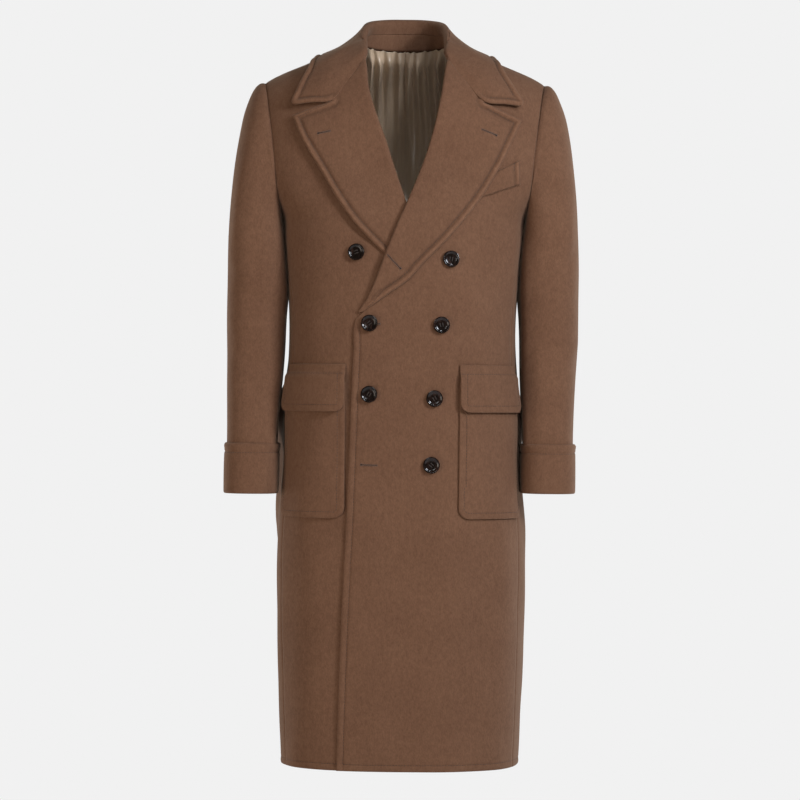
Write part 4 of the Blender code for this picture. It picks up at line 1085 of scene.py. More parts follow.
def make_back(side):
    """Half of the back, from the centre seam to the side seam and the armhole."""
    below, shares = body_rows()
    centre_level = np.concatenate((below, head_level(NECK_CENTRE, shares)))[:, None]
    outer_level = np.concatenate((below, head_level(ridge_height(SHOULDER), shares)))[:, None]
    share = np.concatenate((0 * below, shares))[:, None]
    centre = total_girth(centre_level) - SEAM / 2
    side_end = seam_girth(outer_level) + SEAM / 2
    wide = np.where(share > 0, armhole_line(outer_level), centre - side_end)
    places = spread(wide[:, 0], SEAM_STEPS, BACK_COLUMNS, SEAM_STEPS)
    part = places / wide
    level = mix(centre_level, outer_level, part)
    across = mix(SEAM / 2, armhole_line(outer_level), part)
    top = np.where(across <= NECK_POINT, neck_level(across), ridge_height(across))
    level = mix(level, top, share ** RIDGE_HOLD)
    girth = np.where(share > 0, girth_at(across, level, back=True) + SEAM / 2 * part,
                     mix(centre, side_end, part))
    edging = sewn(places) + sewn(wide - places) + rolled(level - HEM) * HEM_PRESS
    height = relief(side, girth, level)
    nudge = np.zeros(girth.shape + (3,))
    nudge[-1, :, 1] = np.where(across[-1] >= NECK_POINT, SEAM / 2, 0)
    outer = lift(girth, level, height + edging) + nudge
    inner = lift(girth, level, height - WALL) + nudge
    name = f"back_{NAMES[side]}"
    piece = wool_shell(side, name, outer, inner, sewn_at={"near": ALL, "far": ALL, "end": ALL})
    hem = outer[STITCH_POINT, 2:-2]
    return piece, [topstitch(f"{name}_hem_stitching", piece, flipped(hem, side))]


# ---------------------------------------------------------------- sleeves

TURNS = np.arange(SLEEVE_COLUMNS) * math.tau / SLEEVE_COLUMNS


def signed_power(value, power):
    """A power that keeps the sign."""
    return np.sign(value) * np.abs(value) ** power


def armhole_ring(side):
    """The sleeve's seam, just outside the armhole."""
    share = np.where(TURNS <= math.pi, TURNS, math.tau - TURNS) / math.pi
    level = head_level(ridge_height(SHOULDER), share)
    across = armhole_line(level)
    girth = np.where(TURNS <= math.pi, girth_at(across, level), girth_at(across, level, back=True))
    return lift(girth, level, relief(side, girth, level)) + np.array((2 * SEAM, 0, 0)), share


def sleeve_ring(level, grow=0.0):
    """A sleeve's outline at each level, grown outwards for what lies over it: rows of points."""
    level, grow = np.atleast_1d(level)[:, None], np.atleast_1d(grow)[:, None]
    middle = (sleeve_inner(level) + sleeve_outer(level)) / 2
    wide = (sleeve_outer(level) - sleeve_inner(level)) / 2 + grow
    deep = sleeve_depth(level) + grow
    across = middle - wide * signed_power(np.cos(TURNS), 2 / SLEEVE_ROUND)[None]
    depth = sleeve_middle(level) - deep * signed_power(np.sin(TURNS), 2 / SLEEVE_ROUND)[None]
    return np.stack((across, depth, level + 0 * across), axis=-1)


def hung(side, points):
    """Points of a sleeve, swung to hang as it does against the body."""
    level = points[..., 2]
    return points + np.stack((hang_across[side](level), 0 * level, hang_up[side](level)), axis=-1)


def sleeve_relief(side, grid):
    """Height of the sleeve's creases over a grid of its points."""
    calm = ease(grid[..., 2], -725 * MM, -640 * MM)
    height = crease_height(SLEEVE_CREASES[side], TURNS[None] + 0 * grid[..., 2], grid[..., 2], SLEEVE_TURN)
    for _, high, phase, tall in SWAYS:
        turn = 3 * TURNS[None] + grid[..., 2] / (high * MM) * math.tau + phase + side
        height = height + tall * MM * 0.8 * np.sin(turn)
    return height * calm


def make_sleeve(side):
    """A set-in sleeve: the head turns down from the armhole, and the rest hangs."""
    start, share = armhole_ring(side)
    below = sleeve_ring(SLEEVE[0][0] * MM)[0]
    even = (np.arange(SLEEVE_HEAD_ROWS + 1) / SLEEVE_HEAD_ROWS)[:, None]
    step = even * (len(SLEEVE_HEAD) - 1)
    top = ease(share, 0, 0.6)[None]
    out, down = mix(even, head_out(step), top)[..., None], mix(even, head_down(step), top)[..., None]
    head = mix(start[None], below[None], np.concatenate((out, out, down), axis=-1))
    levels = np.linspace(SLEEVE[0][0] * MM, SLEEVE[-1][0] * MM, SLEEVE_ROWS)[1:]
    grid = np.concatenate((head, sleeve_ring(levels)))
    normals = -slopes(grid, ring=True)
    from_seam = np.linalg.norm(grid - grid[:1], axis=-1)
    height = sleeve_relief(side, grid) * ease(from_seam, 0, HEAD_CALM)
    height += sewn(from_seam) + HEAD_SWELL * np.exp(-((from_seam - HEAD_SWELL_AT) / HEAD_SWELL_WIDE) ** 2)
    outer = grid + normals * height[..., None]
    inner = grid + normals * (height * ease(from_seam, 0, HEAD_PRESS) - WALL)[..., None]
    name = f"{NAMES[side]}_sleeve"
    return wool_shell(side, name, hung(side, outer), hung(side, inner), ring=True, sewn_at={"start": ALL})


def make_cuff(side):
    """A turn-back cuff round the end of a sleeve, stitched below its top edge."""
    top, end = CUFF[0][0] * MM, CUFF[-1][0] * MM
    drops = spread([top - end], CUFF_TOP_STEPS, CUFF_ROWS, CUFF_END_STEPS)[0]
    levels = top - drops
    swell = np.interp(-levels, [-row[0] * MM for row in CUFF], [row[1] * MM for row in CUFF])
    height = rolled(drops, CUFF_STITCH) + CUFF_SWELL * np.sin(np.clip(drops / (top - end), 0, 1) * math.pi)
    uneven = CUFF_SWELL * np.sin(3 * TURNS + side)[None] * ease(drops, 0, 30 * MM)[:, None]
    inner = sleeve_ring(levels, CUFF_AIR)
    outer = sleeve_ring(levels, CUFF_AIR + CUFF_WALL + swell + height)
    normals = unit(outer - inner)
    outer, inner = outer + normals * uneven[..., None], inner + normals * uneven[..., None]
    name = f"{NAMES[side]}_cuff"
    piece = wool_shell(side, name, hung(side, outer), hung(side, inner), ring=True)
    ring = hung(side, sleeve_ring(top - CUFF_STITCH, 6 * MM)[0])
    ring = flipped(np.concatenate((ring, ring[:1])), side)
    return piece, [topstitch(f"{name}_stitching", piece, ring)]


# ---------------------------------------------------------------- lapels and collar

def line_through(points):
    """A function that walks along corners, by share of the length."""
    corners = np.array(points) * MM
    lengths = np.concatenate(((0,), np.cumsum(np.hypot(*np.diff(corners, axis=0).T))))

    def point_at(share):
        return (np.interp(share, lengths / lengths[-1], corners[:, 0]),
                np.interp(share, lengths / lengths[-1], corners[:, 1]))

    return point_at


def softened(points):
    """A table of corners with the line through them rounded."""
    return bend_through(np.array(points, float), 6, 0)


LAPEL_EDGE = {LEFT: line_through(softened(LEFT_LAPEL)), RIGHT: line_through(softened(RIGHT_LAPEL))}
LAPEL_END = {LEFT: BREAK, RIGHT: RIGHT_LAPEL_END}


def lapel_places(side, share, part):
    """Across and level of places on a lapel, by share of its length and part of its width."""
    roll_z = mix(LAPEL_END[side], GORGE, share)
    roll_x = edge_line[side](roll_z)
    edge_x, edge_z = LAPEL_EDGE[side](share)
    (peak_x, peak_z), top_x = LAPEL_EDGE[side](1.0), edge_line[side](GORGE)
    chord = mix(GORGE, peak_z, (NOTCH[side][0] - top_x) / (peak_x - top_x))
    notch = np.minimum((NOTCH[side][0] - roll_x) / (edge_x - roll_x), NOTCH_INSIDE)
    bend = 1 - np.abs(part - notch) / np.where(part < notch, notch, 1 - notch)
    across = mix(roll_x, edge_x, part)
    level = mix(roll_z, edge_z, part) + (NOTCH[side][1] - chord) * bend * share ** NOTCH_HOLD
    return across, level


def lapel_height(side, away, part, share, flat=1.0):
    """Height of a lapel's face, by the distance from its roll, the part of its width and its length."""
    crest = mix(LAPEL_LIE, ROLL_CREST, flat)
    stand = LAPEL_STAND[side] * ease(part, 0.45, 1.0) * ease(share, 0.02, 0.2)
    stand = stand * (1 - ease(share, 0.82, 1.0) * 0.3)
    height = mix(LAPEL_LIE, crest, np.exp(-away / ROLL_FADE)) + stand * flat
    return mix(height, np.maximum(height, COLLAR_LIE), ease(share, 0.85, 1.0))


def make_lapel(side):
    """A lapel, folded back along the roll line and lying on the chest."""
    near_top = 1 - np.array(EDGE_STEPS)[::-1] * MM / LAPEL_LONG
    share = np.concatenate((np.linspace(0, near_top[0], LAPEL_ROWS)[:-1], near_top))[:, None]
    roll_z = mix(LAPEL_END[side], GORGE, share)
    edge_x, edge_z = LAPEL_EDGE[side](share)
    width = np.hypot(edge_x - edge_line[side](roll_z), edge_z - roll_z)
    flat = ease(share, *LAPEL_FLAT) if side == RIGHT else 1 + 0 * share
    crest = mix(LAPEL_LIE, ROLL_CREST, flat)

    def place(part, height):
        across, level = lapel_places(side, share, part)
        return on_front(side, across, level, height + 0 * across)

    fold_most, inside_most, reach_most = FOLD_MOST
    reach = np.minimum(FOLD_REACH / width, reach_most)
    inside_part = np.minimum(FOLD_INSIDE / width, inside_most)
    rise = mix(LAPEL_START, 1.0, ease(share, *LAPEL_RISE))
    fold = [place(np.minimum(away * MM / width, fold_most), np.minimum(top * MM * rise, crest - LAPEL_AIR))
            for away, top, _ in FOLD]
    under = [place(inside_part, low * MM) for _, _, low in FOLD]
    fold.append(place(reach, rise * mix(LAPEL_LIE, crest, np.exp(-reach * width / ROLL_FADE))))
    under.append(place(np.maximum(reach, inside_part), FOLD_UNDER + 0 * share))
    places = spread(((1 - reach) * width)[:, 0], (0, 3), LAPEL_COLUMNS, EDGE_STEPS)
    part = reach + places / width
    height = lapel_height(side, part * width, part, share, flat) * rise
    face = place(part, height)
    below = place(part, np.maximum(height - LAPEL_WALL, LAPEL_AIR))
    notch = int(np.argmax(lapel_places(side, 1.0, part[-1])[0] >= NOTCH[side][0]))
    border = np.concatenate((face[:, -1], face[-1, :notch - 1:-1]))
    distance = away_from(face, border)
    gorge = np.linalg.norm(face - face[-1:], axis=-1)
    out = slopes(face)
    out = out * -np.sign(out[len(out) // 2, out.shape[1] // 2, 1])      # towards the front
    fade = ease(share, 0.0, 0.06)
    seamed = sewn(gorge, GORGE_DIP) * (np.arange(face.shape[1]) < notch)[None]
    height = rolled(distance, bold=FACING_BULK) * fade
    face = face + out * (height + seamed)[..., None]
    outer, inner = (
        np.concatenate((bend_through(np.stack(roll, axis=1)[:, :, 0], FOLD_STEPS, 1), lying[:, 1:]), axis=1)
        for roll, lying in ((fold, face), (under, below)))
    name = f"{NAMES[side]}_lapel"
    before = outer.shape[1] - face.shape[1]
    # The roll outside the stitching also gets painted light, and the groove along it painted shade.
    piece = wool_shell(side, name, outer, inner, sewn_at={"end": before + notch},
                       raised=np.pad(height / MM, ((0, 0), (before, 0))))
    path = np.concatenate((face[2:STITCH_ROW, STITCH_ROW], face[STITCH_ROW, STITCH_ROW:notch + 1:-1]))
    return piece, [topstitch(f"{name}_stitching", piece, flipped(path, side))]


def body_point(side, across, level, face, height):
    """A point over the body, on its front or its back."""
    if face == FRONT:
        return on_front(side, across, level, height)
    girth = girth_at(across, level, back=True)
    return lift(girth, level, relief(side, girth, level) + height)


def neck_seam(side, across, level):
    """A point of the neck seam, inside the body's edge: by level on the front, else by distance."""
    if level:
        return body_point(side, panel_edge(LEFT, level) - STAND_IN, level, FRONT, -WALL)
    return body_point(side, across, neck_level(across), BACK, -WALL) + np.array((0, 0, STAND_UP))


def gorge_leaf(side, fold, edge):
    """The collar's front end: the roll's section, then along the lapel's gorge and the leaf's own end."""
    start, tip = fold[[0, 2]], edge[[0, 2]]
    notch = np.array(NOTCH[side]) + np.array((0, SEAM))
    along, reach = unit(notch - start), np.linalg.norm(notch - start)
    line = [(*(start + along * away * MM), top * MM) for away, top, _ in FOLD]
    line += [(*(start + along * away), COLLAR_LIE) for away in (FOLD_REACH, 14 * MM, 0.5 * reach, reach)]
    line += [(*mix(notch, tip, share), COLLAR_LIE + share * COLLAR_STAND_OFF) for share in (0.5, 1)]
    line = bend_through(np.array(line), COLLAR_COLUMN_STEPS, 0)
    gorge = slice(len(FOLD) * COLLAR_COLUMN_STEPS, NOTCH_COLUMN * COLLAR_COLUMN_STEPS + 1)
    away = np.hypot(*(line[gorge, :2] - start).T)
    notch_part = (notch[0] - start[0]) / (LAPEL_EDGE[side](1.0)[0] - start[0])
    line[gorge, 2] = lapel_height(side, away, away / reach * notch_part, 1.0)
    return on_front(side, *line.T)


def collar_path(side, row):
    """The neck seam's point of one row of half the collar, and its line from the seam under the fold."""
    values = np.array(COLLAR[row]) * MM
    fold_shift, across_shift, up_shift, round_share = COLLAR_SIDES[side].get(row, (0, 0, 0, 1))
    fold = values[:3] + np.array((fold_shift, 0, 0)) * MM
    shifts = np.array((across_shift, up_shift, 0, 0, 0, 0)) * MM
    edge_x, edge_z, mid_x, mid_z, seam_z, seam_x = values[3:] + shifts
    crest = COLLAR_CREST * round_share
    stand_off = COLLAR_STAND_OFF * ease(row, 5, 9)
    edge = body_point(side, edge_x, edge_z, FRONT if seam_z else BACK, COLLAR_LIE + stand_off)
    seam = neck_seam(side, seam_x, seam_z)
    out = unit((edge - fold) * np.array((1, 1, 0)))
    drop = np.array((0, 0, crest))
    leg, shoulder = fold - out * crest - drop, fold + out * crest - drop
    under = mix(seam, leg, STAND_SHARE)
    if mid_x:
        middle = on_front(side, mid_x, mid_z, COLLAR_LIE + COLLAR_SWELL)
    else:
        middle = mix(shoulder, edge, 0.5) - (np.array((0, 0, 1)) + out * 0.7) * COLLAR_HOLLOW
    if row == len(COLLAR) - 1:
        return seam, gorge_leaf(side, fold, edge)
    return seam, bend_through(np.array((under, leg, fold, shoulder, middle, edge)), NET_STEPS, 0)


def cleared(side, points, soft):
    """Points of the leaf, kept over the chest, shoulder or back, with no crease where they meet it."""
    across = points[..., 0]
    drop = ridge_height(across) - points[..., 2]
    safe = ridge_height(across) - np.maximum(drop, RIDGE_REACH)
    behind = points[..., 1] > ridge_depth(across)
    for face in (FRONT, BACK):
        base = body_point(side, across, safe, face, 0.0)
        out = outward(girth_at(across, safe, back=face == BACK), safe)
        over = ((points - base) * out).sum(-1) - COLLAR_LIE
        rise = (np.sqrt(over ** 2 + soft ** 2) - over) / 2
        share = ease(drop, 0, 3 * RIDGE_REACH) * (behind == (face == BACK))
        points = points + out * (rise * share)[..., None]
    return points


def both_halves(half, other):
    """A grid of left-side rows and one of right-side rows, from the right front to the left front."""
    return np.concatenate((flipped(other[:0:-1], RIGHT), half))


def rounded_tip(leaf, radius):
    """A leaf whose front corner, at the end of its last row, is rounded: lines beside it become arcs."""
    corner = leaf[-1, -1].copy()
    along, up = unit(leaf[-1, -8] - corner), unit(leaf[-9, -1] - corner)
    out = unit(np.cross(along, up))
    from_end = (leaf - corner) @ np.cross(out, along)
    from_side = (leaf - corner) @ np.cross(up, out)
    half_angle = math.acos(along @ up) / 2
    away = leaf - corner - unit(along + up) * radius / math.sin(half_angle)
    flat = away - (away @ out)[..., None] * out
    near = (away @ along < 0) & (away @ up < 0) & (np.linalg.norm(leaf - corner, axis=-1) < 3 * radius)
    wanted = (radius - np.minimum(from_end, from_side)) / np.maximum(np.linalg.norm(flat, axis=-1), 1e-9)
    return leaf + flat * np.where(near, wanted - 1, 0.0)[..., None]


def fine_edge(leaf, notch):
    """A leaf with its columns close together beside the long edge."""
    lines = []
    for line in leaf[:, notch:]:
        lengths = np.concatenate(((0,), np.cumsum(np.linalg.norm(np.diff(line, axis=0), axis=1))))
        places = spread([lengths[-1]], (0,), LEAF_COLUMNS, EDGE_STEPS)[0]
        lines.append(np.stack([np.interp(places, lengths, line[:, axis]) for axis in range(3)], axis=1))
    return np.concatenate((leaf[:, :notch], np.array(lines)), axis=1)


def make_collar():
    """The collar's leaf, over its fold and down on the shoulders and lapels, and the stand inside it."""
    leaves, stands = {}, {}
    notch = NOTCH_COLUMN * COLLAR_COLUMN_STEPS
    for side in (LEFT, RIGHT):
        seams, lines = zip(*(collar_path(side, row) for row in range(len(COLLAR))))
        net = bend_through(np.array([*lines[:-1], lines[-1][::COLLAR_COLUMN_STEPS]]), COLLAR_ROW_STEPS, 0)
        leaf = bend_through(net, COLLAR_COLUMN_STEPS, 1)
        near_end = ease(np.linspace(0, 1, len(leaf)), 0.88, 1.0)[:, None, None]
        leaf = leaf + (lines[-1] - leaf[-1]) * near_end ** 2
        beyond_fold = 2 * NET_STEPS * COLLAR_COLUMN_STEPS
        lain = cleared(side, leaf[:, beyond_fold:], COLLAR_SOFT * (1 - near_end[..., 0]))
        from_fold = ease(np.arange(lain.shape[1]), 0, 2 * COLLAR_COLUMN_STEPS)[None, :, None]
        leaf[:, beyond_fold:] = mix(leaf[:, beyond_fold:], lain, from_fold)
        chosen = list(range(0, len(leaf) - FINE_ROWS, 2)) + list(range(len(leaf) - FINE_ROWS, len(leaf)))
        leaf = leaf[chosen]
        leaves[side] = rounded_tip(fine_edge(leaf, notch), TIP_ROUND)
        foot = bend_through(np.array(seams), COLLAR_ROW_STEPS, 0)[chosen]
        top = leaf[:, 0] + unit(foot - leaf[:, 0]) * STAND_GAP
        share = np.linspace(0, 1, STAND_COLUMNS)[None, :, None]
        stands[side] = mix(foot[:, None], top[:, None], share)
    grid = both_halves(leaves[LEFT], leaves[RIGHT])
    border = np.concatenate((grid[0, notch:], grid[:, -1], grid[-1, notch:][::-1]))
    out = -slopes(grid)
    distance = away_from(grid, border)
    on_leaf = ease(np.arange(grid.shape[1]), notch * 0.6, notch * 0.75)[None]
    free = ease(np.arange(grid.shape[1]), notch * 0.88, notch + 2)[None]
    ends = np.minimum(np.linalg.norm(grid - grid[:1], axis=-1), np.linalg.norm(grid - grid[-1:], axis=-1))
    seamed = sewn(ends, GORGE_DIP) * (np.arange(grid.shape[1]) < notch)[None]
    height = rolled(distance, bold=COLLAR_BULK) * on_leaf
    rise = LAPEL_WALL * np.maximum(ease(ends, 0, COLLAR_LEVEL_OUT), free)
    outer = grid + out * (rise + height + seamed)[..., None]
    inner = grid + out * (rise - LAPEL_WALL)[..., None]
    # The roll outside the stitching also gets painted light, and the groove along it painted shade.
    leaf = wool_shell(LEFT, "collar", outer, inner, sewn_at={"near": ALL, "start": notch, "end": notch},
                      raised=height / MM)
    stitching = [topstitch("collar_stitching", leaf, inset_line(outer, distance, notch, STITCH_IN))]
    grid = both_halves(stands[LEFT], stands[RIGHT])
    out = -slopes(grid)
    foot_distance = np.linalg.norm(grid - grid[:, :1], axis=-1)
    outer = grid + out * (WALL + sewn(foot_distance))[..., None]
    stand = wool_shell(LEFT, "collar_stand", outer, grid,
                       sewn_at={"near": ALL, "far": ALL, "start": ALL, "end": ALL})
    return leaf, stand, stitching


# ---------------------------------------------------------------- lining

def make_lining(side):
    """Half of the back lining: gathered along the neck seam, its folds fading downwards."""
    gathered = np.linspace(SEAM, GATHER_END, GATHER_COLUMNS)
    plain = np.linspace(GATHER_END, LINING_REACH, PLAIN_COLUMNS)[1:]
    across = np.concatenate((gathered, plain))[None]
    top = np.where(across < NECK_POINT, neck_level(across), ridge_height(across))
    top = top + mix(LINING_RISE, -LINING_DROP, ease(across, *NECK_TURN))
    share = np.linspace(0, 1, LINING_ROWS)[:, None]
    level = mix(LINING_END, top, 1 - (1 - share) ** 1.25)
    girth = girth_at(across, level, back=True)
    depth = 0 * level
    for start, wide, tall, end, drift in GATHERS[side]:
        run = ease(level, end * MM, 0)
        centre = (start + drift * (1 - run) + GATHER_WAVE * np.sin(level / GATHER_WAVE_LONG + start)) * MM
        spread_out = wide * MM * mix(GATHER_OPEN, 1.0, run)
        fold = np.exp(-((across - centre) / spread_out) ** 2)
        depth = depth + GATHER_DEPTH * tall * MM * run ** GATHER_FADE * fold
    pleat = PLEAT * np.exp(-(across / PLEAT_WIDE) ** 2)
    slack = SLACK * np.sin(across / SLACK_WIDE + level / SLACK_LONG + side) + SLACK
    hollow = (depth + pleat + slack) * (1 - ease(across, *NECK_CALM))
    from_top = top - level
    hang = mix(SEWN_AIR, HANG_AIR, ease(from_top, 0, SEWN_FADE[0]))
    hollow = hollow * mix(SEWN_HOLLOW, 1.0, ease(from_top, 0, SEWN_FADE[1]))
    hollow = hollow + PUCKER * (1 + np.sin(across / PUCKER_WIDE + side)) * np.exp(-from_top / PUCKER_LONG)
    height = relief(side, girth, level) * 0.5 - WALL - hang - hollow
    outer, inner = lift(girth, level, height), lift(girth, level, height - LINING_WALL)
    name = f"lining_{NAMES[side]}"
    # Painted shade where the lining lies back and painted light where its gathers come forward.
    painted_fold_shade = np.clip(hollow / MM - PAINTED_SHADE_HOLLOW, -PAINTED_SHADE_HOLLOW, PAINTED_LIGHT_MOST)
    return add_shell(name, flipped(outer, side), flipped(inner, side), SATIN, "lining", (name,),
                     raised=painted_fold_shade)


# ---------------------------------------------------------------- pockets

def patch_grid(side, top, end, radius, lift_by, bulge, pressed=-1.0):
    """A pocket or flap between the pocket edges, its lower corners rounded: outer and inner grid."""
    rows = spread([top - end - radius], SEAM_STEPS, PATCH_ROWS, (0,))[0]
    turn = np.arange(1, CORNER_ROWS + 1) / CORNER_ROWS * math.pi / 2
    levels = np.concatenate((top - rows, end + radius * (1 - np.sin(turn))))[:, None]
    cut = np.maximum(end + radius - levels, 0)
    inset = radius - np.sqrt(np.maximum(radius ** 2 - cut ** 2, 0))
    start = girth_at(POCKET_INNER, levels) + inset
    stop = girth_at(POCKET_SHARE * half_width(levels), levels) - inset
    places = spread((stop - start)[:, 0], EDGE_STEPS, PATCH_COLUMNS, SEAM_STEPS)
    girth = start + places
    level = levels + 0 * girth
    across = (girth - start) / (stop - start)
    down = (top - level) / (top - end)
    swell = bulge(across, down)
    base = ply(side, girth, level) + relief(side, girth, level) + lift_by(level) + swell
    face = lift(girth, level, base + PATCH_WALL)
    border = np.concatenate((face[:, 0], face[-1]))
    height = rolled(away_from(face, border)) * PATCH_PRESS
    height -= FLAP_GROOVE * GROOVE_DEPTH * np.exp(-((top - level - pressed) / GROOVE_WIDE) ** 2)
    outer = lift(girth, level, base + PATCH_WALL + height)
    return outer, lift(girth, level, base)


def patch_line(side, top, end, radius, inset):
    """A line round a pocket or flap, at an inset from its free edges, just over the cloth."""
    side_points, corner_points, end_points = PATCH_LINE
    turn = np.linspace(0, math.pi / 2, corner_points)
    round_by = radius - inset
    straight = np.linspace(top, end + radius, side_points)[:-1]
    levels = np.concatenate((straight, end + radius - round_by * np.sin(turn)))
    inward = np.concatenate((0 * straight, round_by * (1 - np.cos(turn))))
    near = girth_at(POCKET_INNER, levels) + inset + inward
    far = girth_at(POCKET_SHARE * half_width(levels), levels) - inset - inward
    along = np.linspace(0, 1, end_points)[1:-1]
    girth = np.concatenate((near, mix(near[-1], far[-1], along), far[::-1]))
    level = np.concatenate((levels, np.full(len(along), levels[-1]), levels[::-1]))
    return flipped(over_cloth(side, girth, level, np.full(len(girth), CLEAR)), side)


def make_pocket(side):
    """A patch pocket that reaches round to the side, slightly filled out."""
    def bulge(across, down):
        across, down = np.clip(across, 0, 1), np.clip(down, 0, 1)
        return POCKET_FILL * np.sin(across * math.pi) ** 0.8 * np.sin(down * math.pi) ** 0.6

    outer, inner = patch_grid(side, POCKET_TOP, POCKET_END, POCKET_ROUND,
                              lambda level: PLY_AIR + 0 * level, bulge)
    name = f"{NAMES[side]}_pocket"
    piece = wool_shell(side, name, outer, inner)
    path = patch_line(side, POCKET_TOP, POCKET_END, POCKET_ROUND, STITCH_IN)
    return piece, [topstitch(f"{name}_stitching", piece, path)]


def make_flap(side):
    """A flap over a pocket's mouth: sewn to the front above it, then lying on the pocket."""
    over = PATCH_WALL + 2 * PLY_AIR + FLAP_OVER

    def lift_by(level):
        return mix(over, PLY_AIR, ease(level, *FLAP_LIFT))

    def bulge(across, down):
        return FLAP_SPRING * ease(down, 0.3, 1.0)

    outer, inner = patch_grid(side, FLAP_TOP, FLAP_END, FLAP_ROUND, lift_by, bulge, FLAP_STITCH)
    name = f"{NAMES[side]}_flap"
    piece = wool_shell(side, name, outer, inner)
    path = patch_line(side, FLAP_TOP - FLAP_STITCH, FLAP_END, FLAP_ROUND, STITCH_IN)
    level = FLAP_TOP - FLAP_STITCH
    girth = np.linspace(girth_at(POCKET_INNER, level) + 2 * MM,
                        girth_at(POCKET_SHARE * half_width(level), level) - 2 * MM, 60)
    line = flipped(over_cloth(side, girth, level + 0 * girth, CLEAR + 0 * girth), side)
    return piece, [topstitch(f"{name}_stitching", piece, path),
                   topstitch(f"{name}_top_stitching", piece, line)]


def make_welt():
    """The chest pocket's welt, from beside the armhole to the lapel's edge."""
    (top_x, top_z, top_in_x, top_in_z), (low_x, low_z, low_in_x, low_in_z) = np.array(WELT) * MM
    down = np.linspace(0, 1, WELT_ROWS)[:, None]
    part = np.linspace(0, 1, WELT_COLUMNS)[None]
    across = mix(mix(top_in_x, top_x, part), mix(low_in_x, low_x, part), down)
    level = mix(mix(top_in_z, top_z, part), mix(low_in_z, low_z, part), down)
    sunk = mix(WELT_SUNK, 1.0, ease(part, *WELT_RISE))
    face = on_front(LEFT, across, level, (PLY_AIR + PATCH_WALL) * sunk + 0 * across)
    inner = on_front(LEFT, across, level, PLY_AIR * sunk + 0 * across)
    border = np.concatenate((face[0], face[:, -1], face[-1, ::-1]))
    out = unit(face - inner)
    distance = away_from(face, border)
    from_end = np.linalg.norm(face - face[:, -1:], axis=-1)
    strip = WELT_PRESS * rolled(from_end, WELT_STITCH, FACING_BULK)
    outer = face + out * (WELT_CROWN * ease(distance, 0, 5 * MM) + strip)[..., None]
    # Painted shade along the seam round the welt; the strip at its outer end gets painted light and the
    # groove by its stitching painted shade.
    seamed = WELT_SEAM_SHADE * np.exp(-(distance / WELT_SEAM_WIDE) ** 2)
    piece = wool_shell(LEFT, "chest_welt", outer, inner, raised=strip / MM / WELT_PRESS - seamed)
    path = mix(outer[:, 1], outer[:, -1], 1 - WELT_STITCH / np.linalg.norm(outer[0, -1] - outer[0, 0]))
    return piece, [topstitch("chest_welt_stitching", piece, path)]


# ---------------------------------------------------------------- buttons and buttonholes

def turned_disc(profile, sides):
    """Points and faces of a lathe shape closed at both ends."""
    angles = np.arange(sides) * math.tau / sides
    points = [(radius * math.cos(angle), radius * math.sin(angle), height)
              for radius, height in profile for angle in angles]
    faces = [tuple(range(sides))[::-1]]
    faces += ring_faces(0, len(profile), sides)
    faces.append(tuple(range((len(profile) - 1) * sides, len(profile) * sides)))
    return np.array(points, float) * MM, faces


def drilled(piece, holes):
    """A button with its thread holes cut through, before it is placed."""
    for number, (x, y) in enumerate(holes):
        ends = [(HOLE_RADIUS / MM, height) for height in (HOLE_FLOOR, HOLE_TOP)]
        points, faces = turned_disc(ends, HOLE_SIDES)
        mesh = bpy.data.meshes.new("drill")
        mesh.from_pydata((points + np.array((x, y, 0))).tolist(), [], faces)
        drill = bpy.data.objects.new("drill", mesh)
        bpy.context.scene.collection.objects.link(drill)
        cut = piece.modifiers.new(f"hole {number}", "BOOLEAN")
        cut.operation, cut.solver, cut.object = "DIFFERENCE", "EXACT", drill
    bpy.context.view_layer.update()
    mesh = bpy.data.meshes.new_from_object(piece.evaluated_get(bpy.context.evaluated_depsgraph_get()))
    drills = [modifier.object for modifier in piece.modifiers]
    piece.modifiers.clear()
    for drill in drills:
        bpy.data.objects.remove(drill)
    return mesh


